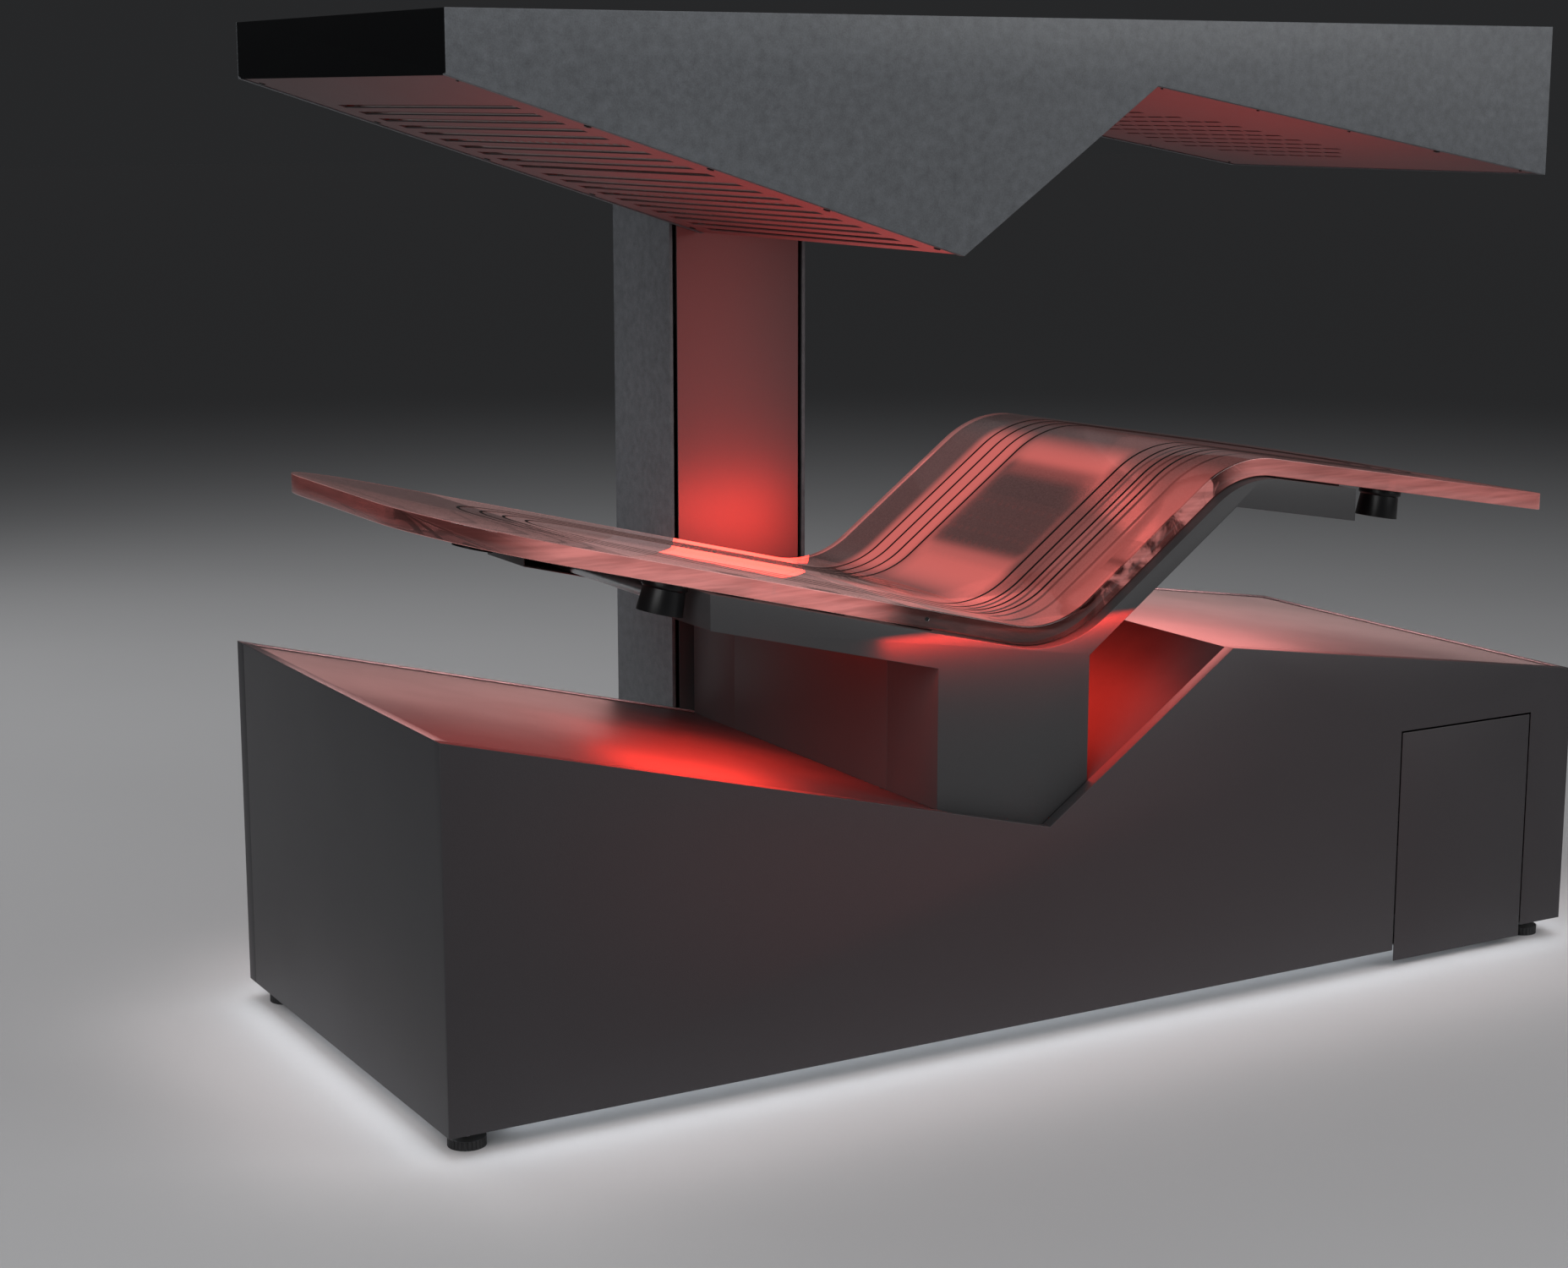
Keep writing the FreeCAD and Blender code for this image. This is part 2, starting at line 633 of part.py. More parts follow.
def underglow_strips():
    z0 = SKIN_Z - GLOW_HEIGHT
    near, far = GLOW_INSET, BASE_DEPTH - GLOW_INSET - GLOW_WIDTH
    x0, x1 = GLOW_END, BASE_LENGTH - GLOW_END
    plate_x0 = COLUMN_X0 - FOOT_PLATE_SIDE - GLOW_WIDTH
    plate_x1 = COLUMN_X1 + FOOT_PLATE_SIDE + GLOW_WIDTH
    runs = [(x0, x1, near), (x0, plate_x0, far), (plate_x1, x1, far)]
    strips = [box(a, b, y, y + GLOW_WIDTH, z0, SKIN_Z) for a, b, y in runs]
    for x in (GLOW_INSET, BASE_LENGTH - GLOW_INSET - GLOW_WIDTH):
        strips.append(box(x, x + GLOW_WIDTH, GLOW_END, BASE_DEPTH - GLOW_END, z0, SKIN_Z))
    return group(strips)


# Service door
def service_door():
    plate = box(DOOR_X0, DOOR_X1, 0, SKIN, DOOR_Z0, DOOR_Z1)
    ribs = [box(DOOR_X0 + STIFFENER_INSET, DOOR_X1 - STIFFENER_INSET, SKIN, SKIN + STIFFENER_DEPTH,
                SKIN_Z + z, SKIN_Z + z + STIFFENER_HEIGHT) for z in STIFFENER_OFFSETS]
    return fused([plate] + ribs)


def knuckle_heights():
    return [(SKIN_Z + z, SKIN_Z + z + KNUCKLE_HEIGHT) for z in KNUCKLE_OFFSETS]


def door_knuckles():
    half, up = KNUCKLE_WIDTH / 2, vec(0, 0, 1)
    blocks = []
    for z0, z1 in knuckle_heights():
        block = box(PIVOT_X - half, PIVOT_X + half, SKIN, SKIN + KNUCKLE_DEPTH, z0, z1)
        bore = drum(HINGE_PIN_R + HINGE_RUNNING, KNUCKLE_HEIGHT, vec(PIVOT_X, PIVOT_BACK, z0), up)
        blocks.append(block.cut(bore))
    return group(blocks)


def hinge_arm(z):
    axis, up = vec(PIVOT_X, PIVOT_BACK, z), vec(0, 0, 1)
    bar = box(PIVOT_X, PIVOT_X + LEAF_BACK * math.sqrt(2) - LEAF_T / 2, PIVOT_BACK - HINGE_ARM_R,
              PIVOT_BACK + HINGE_ARM_R, z, z + HINGE_ARM)
    bar.rotate(axis, up, 135)
    return [bar, drum(HINGE_ARM_R, HINGE_ARM, axis, up)]


def hinge_bracket(z0, z1):
    low, high = z0 - HINGE_SIDE_GAP - HINGE_ARM, z1 + HINGE_SIDE_GAP
    leaf = box(PIVOT_X - LEAF_LEFT, PIVOT_X + LEAF_RIGHT, PIVOT_BACK + LEAF_BACK,
               PIVOT_BACK + LEAF_BACK + LEAF_T, low, high + HINGE_ARM)
    hole = drum(HINGE_PIN_R, high + HINGE_ARM - low, vec(PIVOT_X, PIVOT_BACK, low), vec(0, 0, 1))
    return carved(fused([leaf] + hinge_arm(low) + hinge_arm(high)), [hole])


def hinge_pin(z0, z1):
    low, high = z0 - HINGE_SIDE_GAP - HINGE_ARM, z1 + HINGE_SIDE_GAP + HINGE_ARM
    return drum(HINGE_PIN_R, high - low, vec(PIVOT_X, PIVOT_BACK, low), vec(0, 0, 1))


def door_catch():
    z0 = SKIN_Z + CATCH_OFFSET
    edge = DOOR_X0 - DOOR_GAP
    foot = box(edge - CATCH_FOOT, edge, SKIN, SKIN + CATCH_DEPTH, z0, z0 + CATCH_HEIGHT)
    nose = box(edge, edge + CATCH_REACH, SKIN + CATCH_GAP, SKIN + CATCH_DEPTH, z0, z0 + CATCH_HEIGHT)
    return fused([foot, nose])


# Boxes and mains inlet inside the cabinet
def flanged_box(x0, y0, size):
    x1, y1, z1 = x0 + size[0], y0 + size[1], PAN_TOP + size[2]
    foot = box(x0 - BOX_FLANGE, x1 + BOX_FLANGE, y0, y1, PAN_TOP, PAN_TOP + BOX_FLANGE_T)
    return fused([box(x0, x1, y0, y1, PAN_TOP, z1), foot])


def power_supply():
    return flanged_box(POST_X + SUPPLY_POST_GAP, SUPPLY_BACK, SUPPLY_SIZE)


def control_unit():
    return flanged_box(DOOR_X0 + (DOOR_WIDTH - CONTROL_SIZE[0]) / 2, CONTROL_BACK, CONTROL_SIZE)


def rocker_pivot():
    return vec(BASE_LENGTH - INLET_FOOT_INSET, BASE_DEPTH + INLET_LIP_T - ROCKER_DEPTH,
               SKIN_Z + INLET_Z + ROCKER_OFFSET)


def mains_inlet():
    x, z, face = BASE_LENGTH - INLET_FOOT_INSET, SKIN_Z + INLET_Z, BASE_DEPTH + INLET_LIP_T
    half_w, half_h = INLET_WIDTH / 2, INLET_HEIGHT / 2
    body = box(x - half_w, x + half_w, BASE_DEPTH - INLET_DEPTH, BASE_DEPTH, z - half_h, z + half_h)
    lip = box(x - half_w - INLET_LIP, x + half_w + INLET_LIP, BASE_DEPTH, face,
              z - half_h - INLET_LIP, z + half_h + INLET_LIP)
    socket_z = z + SOCKET_OFFSET
    socket = box(x - SOCKET_WIDTH / 2, x + SOCKET_WIDTH / 2, face - SOCKET_DEPTH, face,
                 socket_z - SOCKET_HEIGHT / 2, socket_z + SOCKET_HEIGHT / 2)
    pivot = rocker_pivot()
    recess_w = ROCKER_WIDTH / 2 + ROCKER_GAP
    recess = box(x - recess_w, x + recess_w, pivot.y - ROCKER_RECESS_DEPTH, face,
                 pivot.z - ROCKER_RECESS_HALF, pivot.z + ROCKER_RECESS_HALF)
    reach = recess_w + ROCKER_BACK
    bores = drum(ROCKER_PIN_R + ROCKER_RUNNING, 2 * reach, pivot - vec(reach, 0, 0), vec(1, 0, 0))
    return carved(fused([body, lip]), [socket, recess, bores])


def power_rocker():
    pivot, half = rocker_pivot(), ROCKER_WIDTH / 2
    reach = half + ROCKER_GAP + ROCKER_BACK - ROCKER_RUNNING
    key = box(pivot.x - half, pivot.x + half, pivot.y - ROCKER_BACK, pivot.y + ROCKER_FRONT,
              pivot.z - ROCKER_HEIGHT / 2, pivot.z + ROCKER_HEIGHT / 2)
    pin = drum(ROCKER_PIN_R, 2 * reach, pivot - vec(reach, 0, 0), vec(1, 0, 0))
    rocker = fused([key, pin])
    rocker.rotate(pivot, vec(1, 0, 0), ROCKER_REST_DEG)
    return rocker


# Fans, drawn with the axis up and then turned into place
def fan_frame():
    half = FAN_SIZE / 2
    ring = box(-half, half, -half, half, 0, FAN_DEPTH).cut(drum(FAN_BORE_R, FAN_DEPTH, vec(0, 0, 0), vec(0, 0, 1)))
    hub = drum(FAN_HUB_R, FAN_STRUT_T, vec(0, 0, 0), vec(0, 0, 1))
    shaft = drum(FAN_SHAFT_R, FAN_ROTOR_Z[1], vec(0, 0, 0), vec(0, 0, 1))
    struts = []
    for turn in (0, 120, 240):
        strut = box(0, half - FAN_STRUT_T, -FAN_STRUT / 2, FAN_STRUT / 2, 0, FAN_STRUT_T)
        strut.rotate(vec(0, 0, 0), vec(0, 0, 1), turn)
        struts.append(strut)
    return fused([ring, hub, shaft] + struts)


def fan_rotor():
    low, high = FAN_ROTOR_Z
    up = vec(0, 0, 1)
    pieces = [drum(FAN_HUB_R, high - low, vec(0, 0, low), up)]
    for i in range(FAN_BLADES):
        blade = box(FAN_HUB_R - FAN_STRUT_T, FAN_BLADE_R, -FAN_BLADE_T / 2, FAN_BLADE_T / 2,
                    (low + high - FAN_BLADE_CHORD) / 2, (low + high + FAN_BLADE_CHORD) / 2)
        blade.rotate(vec(0, 0, (low + high) / 2), vec(1, 0, 0), FAN_PITCH_DEG)
        blade.rotate(vec(0, 0, 0), up, i * 360.0 / FAN_BLADES)
        pieces.append(blade)
    bore = drum(FAN_SHAFT_R + FAN_RUNNING, high - low, vec(0, 0, low), up)
    return carved(fused(pieces), [bore])


def in_rear_skin(fan):
    """A fan turned to blow out through the rear skin."""
    fan.rotate(vec(0, 0, 0), vec(1, 0, 0), -90)
    fan.translate(vec(BASE_LENGTH - BASE_FAN_FOOT_INSET, BASE_DEPTH - SKIN - FAN_DEPTH, SKIN_Z + BASE_FAN_Z))
    return fan


def in_canopy_roof(fan):
    """A fan hung under the canopy's top panel."""
    fan.translate(vec(CANOPY_FAN_X, MID_Y, CANOPY_ROOF - SKIN - FAN_DEPTH))
    return fan


# Bed frame
def rail_outline(inset, y):
    """Outline of a bed rail with its pedestal leg, drawn in by a wall on every side."""
    top_drop = RAIL_TOP_DROP + inset
    x0, x1 = RAIL_HEAD_X + inset, RAIL_FOOT_X - inset
    leg0, leg1 = PEDESTAL_X0 + inset, PEDESTAL_X1 - inset
    upper = lowered(clipped(SLAB_PROFILE, x0, x1), top_drop)
    arm, thigh = ARM_DROP - inset, THIGH_DROP - inset
    bend = meeting_x(SLAB_PROFILE, THIGH, thigh, arm)
    floor = clipped(lowered(BASE_PROFILE, SKIN - inset), leg0, leg1)
    lower = [(x1, line_z(SLAB_PROFILE, FOOT, arm, x1)), (bend, line_z(SLAB_PROFILE, FOOT, arm, bend)),
             (leg1, line_z(SLAB_PROFILE, THIGH, thigh, leg1))]
    lower += floor[::-1] + [(leg0, line_z(SLAB_PROFILE, HEAD, arm, leg0)), (x0, line_z(SLAB_PROFILE, HEAD, arm, x0))]
    corners = [vec(x, y, z) for x, z in upper + lower]
    radii = [0, SLAB_SEAT_R + top_drop, SLAB_KNEE_R - top_drop, 0] + [0] * len(lower)
    return rounded_face(corners, radii)


def bed_rail(y0, y1, hollow_y0, hollow_y1):
    """Folded rail, open towards the middle of the bed."""
    shell = rail_outline(0, y0).extrude(vec(0, y1 - y0, 0))
    hollow = rail_outline(RAIL_T, hollow_y0).extrude(vec(0, hollow_y1 - hollow_y0, 0))
    return shell.cut(hollow)


def front_rail():
    y0, y1 = FRONT_RAIL_Y
    return bed_rail(y0, y1, y0 + RAIL_T, y1)


def rear_rail():
    y0, y1 = REAR_RAIL_Y
    return bed_rail(y0, y1, y0, y1 - RAIL_T)


def pedestal_panel(x0, x1, index):
    base = clipped(lowered(BASE_PROFILE, SKIN), x0, x1)
    top = [(x, line_z(SLAB_PROFILE, index, TRAY_DROP, x)) for x in (x1, x0)]
    return prism(base + top, FRONT_RAIL_Y[1], REAR_RAIL_Y[0])


def saddle_top():
    return line_z(SLAB_PROFILE, HEAD, TRAY_DROP, POST_X + SADDLE / 2) - SADDLE_GAP


def bed_posts():
    z0, z1 = PAN_TOP + ANGLE, saddle_top() - SADDLE
    outer, inner = post_boxes(0, z0, z1), post_boxes(-POST_WALL, z0, z1)
    posts = [a.cut(b) for a, b in zip(outer, inner)]
    half = SADDLE / 2
    saddle = box(POST_X - half, POST_X + half, FRONT_RAIL_Y[0] + RAIL_T, REAR_RAIL_Y[1] - RAIL_T, z1, saddle_top())
    return fused(posts + [saddle])


def rail_ties():
    y0, y1 = FRONT_RAIL_Y[0] + RAIL_T, REAR_RAIL_Y[1] - RAIL_T
    ties = []
    for index, start, steps in ((HEAD, RAIL_HEAD_X, TIE_HEAD_STEPS), (FOOT, RAIL_FOOT_X, TIE_FOOT_STEPS)):
        for x in (start + step for step in steps):
            base, along = vec(x, y0, line_z(SLAB_PROFILE, index, TIE_DROP, x)), vec(0, 1, 0)
            tube = drum(TIE_R, y1 - y0, base, along)
            ties.append(tube.cut(drum(TIE_R - TIE_WALL, y1 - y0, base, along)))
    return group(ties)


def slab_pads():
    pads = []
    rows = ((HEAD, RAIL_HEAD_X, PAD_HEAD_STEPS), (THIGH, SLAB_SEAT_X, PAD_THIGH_STEPS), (FOOT, SLAB_KNEE_X, PAD_FOOT_STEPS))
    for index, start, steps in rows:
        for x in (start + step for step in steps):
            for y in (SLAB_Y0 + PAD_INSET, SLAB_Y1 - PAD_INSET - PAD_WIDTH):
                pads.append(strip(SLAB_PROFILE, index, x, x + PAD_LENGTH, SLAB_T, RAIL_TOP_DROP, y, y + PAD_WIDTH))
    return group(pads)


def light_tray():
    y0, y1 = FRONT_RAIL_Y[1], REAR_RAIL_Y[0]
    floor = slab_layer(TRAY_DROP - TRAY_T, TRAY_DROP, TRAY_X0, TRAY_X1, y0, y1)
    sides = [slab_layer(TRAY_TOP, TRAY_DROP, TRAY_X0, TRAY_X1, y, y + TRAY_T) for y in (y0, y1 - TRAY_T)]
    ends = [strip(SLAB_PROFILE, HEAD, TRAY_X0, TRAY_X0 + TRAY_T, TRAY_TOP, TRAY_DROP, y0, y1),
            strip(SLAB_PROFILE, FOOT, TRAY_X1 - TRAY_T, TRAY_X1, TRAY_TOP, TRAY_DROP, y0, y1)]
    return fused([floor] + sides + ends)


def led_board(index, x0, x1):
    y0, y1 = FRONT_RAIL_Y[1] + BOARD_MARGIN, REAR_RAIL_Y[0] - BOARD_MARGIN
    under = TRAY_DROP - TRAY_T
    pieces = [strip(SLAB_PROFILE, index, x0, x1, under - BOARD_T, under, y0, y1)]
    count = int((x1 - x0 - LED_BAR) // LED_PITCH)
    for i in range(count + 1):
        x = x0 + (x1 - x0 - count * LED_PITCH - LED_BAR) / 2 + i * LED_PITCH
        pieces.append(strip(SLAB_PROFILE, index, x, x + LED_BAR, under - BOARD_T - LED_BAR_T, under - BOARD_T, y0, y1))
    return fused(pieces)


def bed_led_boards():
    seat, knee, bend, end = SLAB_SEAT_X, SLAB_KNEE_X, BOARD_BEND_MARGIN, BOARD_END_MARGIN
    return group([led_board(HEAD, TRAY_X0 + end, seat - bend), led_board(THIGH, seat + bend, knee - bend),
                  led_board(FOOT, knee + bend, TRAY_X1 - end)])


def heat_sink(index, x0, x1):
    y0, y1 = MID_Y - SINK_HALF_WIDTH, MID_Y + SINK_HALF_WIDTH
    base = TRAY_DROP + SINK_BASE
    pieces = [strip(SLAB_PROFILE, index, x0, x1, TRAY_DROP, base, y0, y1)]
    for i in range(int((y1 - y0 - SINK_FIN_T) // SINK_PITCH) + 1):
        y = y0 + i * SINK_PITCH
        pieces.append(strip(SLAB_PROFILE, index, x0, x1, base, base + SINK_FIN, y, y + SINK_FIN_T))
    return fused(pieces)


def heat_sinks():
    head = [RAIL_HEAD_X + step for step in HEAD_SINK_STEPS]
    foot = [RAIL_FOOT_X + step for step in FOOT_SINK_STEPS]
    return group([heat_sink(HEAD, *head), heat_sink(FOOT, *foot)])


def accent_light_bars():
    y0, y1 = FRONT_RAIL_Y[1] + ACCENT_MARGIN, REAR_RAIL_Y[0] - ACCENT_MARGIN
    bars = []
    for x0, index in ((PEDESTAL_X0 - ACCENT_BAR, HEAD), (PEDESTAL_X1, THIGH)):
        under = min(line_z(SLAB_PROFILE, index, TRAY_DROP, x) for x in (x0, x0 + ACCENT_BAR))
        top = under - ACCENT_DROP
        bars.append(box(x0, x0 + ACCENT_BAR, y0, y1, top - ACCENT_HEIGHT, top))
    rear = REAR_RAIL_Y[1]
    drop = RAIL_TOP_DROP + ACCENT_HEIGHT
    x0, x1 = RAIL_HEAD_X + ACCENT_HEAD_MARGIN, SLAB_SEAT_X - ACCENT_SEAT_MARGIN
    bars.append(strip(SLAB_PROFILE, HEAD, x0, x1, drop, drop + ACCENT_HEIGHT, rear, rear + ACCENT_BAR))
    return group(bars)


# Slab and what hangs under it
def slab_plan(y0, y1, x0, x1, head_r, foot_r):
    low, high = SKIN_Z, SKIN_Z + SLAB_KNEE_Z + SLAB_HEAD_Z
    corners = [vec(x0, y0, low), vec(x1, y0, low), vec(x1, y1, low), vec(x0, y1, low)]
    return rounded_face(corners, [head_r, foot_r, foot_r, head_r]).extrude(vec(0, 0, high - low))


def racetrack(radius):
    """Upright prism of a loop's outline: two half rounds joined by straights."""
    start, end = LOOP_HEAD_X, LOOP_FOOT_X
    straight = box(start, end, MID_Y - radius, MID_Y + radius, SKIN_Z, SKIN_Z + SLAB_KNEE_Z + SLAB_HEAD_Z)
    height = SLAB_KNEE_Z + SLAB_HEAD_Z
    rounds = [drum(radius, height, vec(x, MID_Y, SKIN_Z), vec(0, 0, 1)) for x in (start, end)]
    return fused([straight] + rounds)


def loop_inlays():
    skin = slab_layer(0, LOOP_DEPTH, SLAB_X0, SLAB_X1, SLAB_Y0, SLAB_Y1)
    loops = []
    for i in range(LOOP_COUNT):
        radius = LOOP_INNER_R + i * LOOP_PITCH
        ring = racetrack(radius + LOOP_LINE / 2).cut(racetrack(radius - LOOP_LINE / 2))
        loops.append(skin.common(ring))
    return loops


def bed_slab(loops):
    blank = slab_layer(0, SLAB_T, SLAB_X0, SLAB_X1, SLAB_Y0, SLAB_Y1)
    plan = slab_plan(SLAB_Y0, SLAB_Y1, SLAB_X0, SLAB_X1, SLAB_HEAD_CORNER, SLAB_FOOT_CORNER)
    return blank.common(plan).cut(loops)


def transducer_pucks():
    pucks = []
    for index, x in ((HEAD, PUCK_HEAD_X), (FOOT, PUCK_FOOT_X)):
        down = square_to(SLAB_PROFILE, index)
        z = line_z(SLAB_PROFILE, index, SLAB_T, x)
        for y in (SLAB_Y0 + PUCK_EDGE + PUCK_R, SLAB_Y1 - PUCK_EDGE - PUCK_R):
            pucks.append(drum(PUCK_R, PUCK_HEIGHT, vec(x, y, z), down))
    return group(pucks)


# Column and lift
def column_shell():
    wall = COLUMN_WALL
    outer = box(COLUMN_X0, COLUMN_X1, COLUMN_Y0, COLUMN_Y1, SKIN_Z, COLUMN_TOP)
    inner = box(COLUMN_X0 + wall, COLUMN_X1 - wall, COLUMN_Y0 + wall, COLUMN_Y1 - wall, SKIN_Z, COLUMN_TOP)
    mouth = box(COLUMN_X0 + COLUMN_RETURN, COLUMN_X1 - COLUMN_RETURN, COLUMN_Y0, COLUMN_Y0 + wall, SKIN_Z, COLUMN_TOP)
    return carved(outer, [inner, mouth])


def column_front_cover():
    edge = COLUMN_RETURN + COLUMN_SLOT
    return box(COLUMN_X0 + edge, COLUMN_X1 - edge, COLUMN_Y0, COLUMN_Y0 + COLUMN_WALL, SKIN_Z, COLUMN_TOP)


def column_top_cap():
    return box(COLUMN_X0, COLUMN_X1, COLUMN_Y0, COLUMN_Y1, COLUMN_TOP, COLUMN_TOP + CAP_T)


def column_foot_plate():
    low = SKIN_Z - FOOT_PLATE_T
    plate = box(COLUMN_X0 - FOOT_PLATE_SIDE, COLUMN_X1 + FOOT_PLATE_SIDE, BASE_DEPTH - FOOT_PLATE_REACH,
                COLUMN_Y1, low, SKIN_Z)
    return carved(plate, stem_holes(column_foot_places(), low, SKIN_Z))


def column_guide_rails():
    y0 = COLUMN_Y0 + GUIDE_BACK
    left = COLUMN_X0 + COLUMN_WALL
    right = COLUMN_X1 - COLUMN_WALL
    sides = ((left, left + GUIDE), (right - GUIDE, right))
    return group(box(x0, x1, y0, y0 + GUIDE_DEPTH, SKIN_Z, COLUMN_TOP) for x0, x1 in sides)


def carriage_span():
    z0 = SKIN_Z + CARRIAGE_Z
    return z0, z0 + CARRIAGE_HEIGHT


def slot_centres():
    edge = COLUMN_RETURN + COLUMN_SLOT / 2
    return COLUMN_X0 + edge, COLUMN_X1 - edge


def rod_place():
    return (COLUMN_X0 + COLUMN_X1) / 2, COLUMN_Y0 + MOTOR_BACK


def lift_carriage():
    z0, z1 = carriage_span()
    plate_y = COLUMN_Y0 + CARRIAGE_BACK
    left, right = slot_centres()
    half = ARM_T / 2
    plate = box(left - half, right + half, plate_y, plate_y + CARRIAGE_T, z0, z1)
    arms = [box(x - half, x + half, CANOPY_Y1, plate_y + CARRIAGE_T, z0, z1) for x in (left, right)]
    mount = box(COLUMN_X0 - MOUNT_PLATE_SIDE, COLUMN_X1 + MOUNT_PLATE_SIDE, CANOPY_Y1,
                CANOPY_Y1 + MOUNT_PLATE_T, z0, z0 + MOUNT_PLATE_HEIGHT)
    rod_x, rod_y = rod_place()
    lug = box(rod_x - LUG_HALF, rod_x + LUG_HALF, plate_y, rod_y + LUG_HALF, z0, z0 + LUG_HEIGHT)
    return fused([plate, mount, lug] + arms)


def carriage_glides():
    z0, z1 = carriage_span()
    y0 = COLUMN_Y0 + CARRIAGE_BACK + CARRIAGE_T
    left = COLUMN_X0 + COLUMN_WALL + GUIDE + GLIDE_GAP
    right = COLUMN_X1 - COLUMN_WALL - GUIDE - GLIDE_GAP
    sides = ((left, left + GLIDE_WIDTH), (right - GLIDE_WIDTH, right))
    return group(box(x0, x1, y0, y0 + GLIDE_DEPTH, z, z + GLIDE_HEIGHT)
                 for x0, x1 in sides for z in (z0, z1 - GLIDE_HEIGHT))


def motor_top():
    return carriage_span()[0] - LIFT_TRAVEL - ROD_SPARE


def rod_bottom():
    return motor_top() - ROD_BEARING


def lift_motor():
    x, y = rod_place()
    half, up = MOTOR_FOOT / 2, vec(0, 0, 1)
    foot = box(x - half, x + half, y - half, y + half, SKIN_Z, SKIN_Z + MOTOR_FOOT_HEIGHT)
    tube = drum(MOTOR_R, motor_top() - SKIN_Z, vec(x, y, SKIN_Z), up)
    bore_z = rod_bottom() - LIFT_TRAVEL - ROD_SPARE
    bore = drum(ROD_R + ROD_GAP, motor_top() - bore_z, vec(x, y, bore_z), up)
    return carved(fused([foot, tube]), [bore])


def lift_rod():
    x, y = rod_place()
    return drum(ROD_R, carriage_span()[0] - rod_bottom(), vec(x, y, rod_bottom()), vec(0, 0, 1))


# Canopy
def canopy_side_skin(y0, y1, lip_y0, lip_y1):
    outline = CANOPY_PROFILE + [(CANOPY_X1, CANOPY_ROOF), (CANOPY_X0, CANOPY_ROOF)]
    lip = band(CANOPY_PROFILE, -SKIN, 0, CANOPY_X0, CANOPY_X1, lip_y0, lip_y1)
    return fused([prism(outline, y0, y1), lip])


def canopy_end(x, index):
    low = [(x, line_z(CANOPY_PROFILE, index, 0, x)), (x + SKIN, line_z(CANOPY_PROFILE, index, 0, x + SKIN))]
    lip = CANOPY_LIP
    plate = prism(low + [(x + SKIN, CANOPY_ROOF), (x, CANOPY_ROOF)], CANOPY_Y0 + lip, CANOPY_Y1 - lip)
    over = [(px, pz + SKIN * 2) for px, pz in low]
    wide = prism(over + [(x + SKIN, CANOPY_ROOF), (x, CANOPY_ROOF)], CANOPY_Y0 + SKIN, CANOPY_Y1 - SKIN)
    return fused([plate, wide])


def canopy_top_panel():
    low = CANOPY_ROOF - SKIN
    panel = box(CANOPY_X0 + SKIN, CANOPY_X1 - SKIN, CANOPY_Y0 + SKIN, CANOPY_Y1 - SKIN, low, CANOPY_ROOF)
    first = MID_Y - VENT_PITCH * (VENT_COUNT - 1) / 2
    half = VENT_LENGTH / 2
    vents = []
    for i in range(VENT_COUNT):
        y = first + i * VENT_PITCH - VENT_SLOT / 2
        vents.append(box(CANOPY_FAN_X - half, CANOPY_FAN_X + half, y, y + VENT_SLOT, low, CANOPY_ROOF))
    return carved(panel, vents)


def underside_panel(index):
    profile = clipped(CANOPY_PROFILE, CANOPY_X0 + SKIN, CANOPY_X1 - SKIN)
    return run_panel(profile, index, -2 * SKIN, -SKIN, CANOPY_Y0 + SKIN, CANOPY_Y1 - SKIN)


def slot_places():
    """Left edges of the light slots, in groups along the head panel."""
    for g in range(SLOT_GROUPS):
        start = CANOPY_X0 + SLOT_HEAD_INSET + g * (SLOT_COUNT * SLOT_PITCH + SLOT_GROUP_GAP)
        for i in range(SLOT_COUNT):
            yield start + i * SLOT_PITCH


def screw_holes(index):
    return [drum(SCREW_R, SCREW_LENGTH, base, axis) for base, axis in screw_places(index)]


def canopy_slotted_panel():
    slots = [strip(CANOPY_PROFILE, HEAD, x, x + SLOT_WIDTH, -3 * SKIN, 0, SLOT_Y0, SLOT_Y1) for x in slot_places()]
    return underside_panel(HEAD).cut(slots + screw_holes(HEAD))


def dash_places():
    """Corners of the vent dashes that fall inside the vent's oval."""
    rows = int(DASH_REACH[0] // DASH_PITCH_X)
    columns = int(DASH_REACH[1] // DASH_PITCH_Y)
    for row in range(-rows, rows + 1):
        for column in range(-columns, columns + 1):
            dx, dy = row * DASH_PITCH_X, column * DASH_PITCH_Y
            if math.hypot(dx / DASH_REACH[0], dy / DASH_REACH[1]) <= 1:
                yield DASH_X + dx - DASH_WIDTH / 2, DASH_Y + dy - DASH_LENGTH / 2


def canopy_vented_panel():
    dashes = [strip(CANOPY_PROFILE, FOOT, x, x + DASH_WIDTH, -3 * SKIN, 0, y, y + DASH_LENGTH)
              for x, y in dash_places()]
    return underside_panel(FOOT).cut(dashes + screw_holes(FOOT))


def canopy_steep_panel():
    return underside_panel(THIGH).cut(screw_holes(THIGH))


def screw_places(index):
    """Head faces and directions of the screws along the front and back of an underside panel."""
    (x0, _), (x1, _) = CANOPY_PROFILE[index], CANOPY_PROFILE[index + 1]
    up = square_to(CANOPY_PROFILE, index) * -1
    places = []
    for i in range(SCREW_COUNT):
        x = x0 + SCREW_INSET + (x1 - x0 - 2 * SCREW_INSET) * i / (SCREW_COUNT - 1)
        for y in (CANOPY_Y0 + SCREW_INSET, CANOPY_Y1 - SCREW_INSET):
            places.append((vec(x, y, line_z(CANOPY_PROFILE, index, -SKIN, x)), up))
    return places


def canopy_screws():
    screws = []
    for index in (HEAD, THIGH, FOOT):
        for base, up in screw_places(index):
            head = drum(SCREW_HEAD_R, SCREW_HEAD, base, up * -1)
            screws.append(fused([head, drum(SCREW_R, SCREW_LENGTH, base, up)]))
    return group(screws)


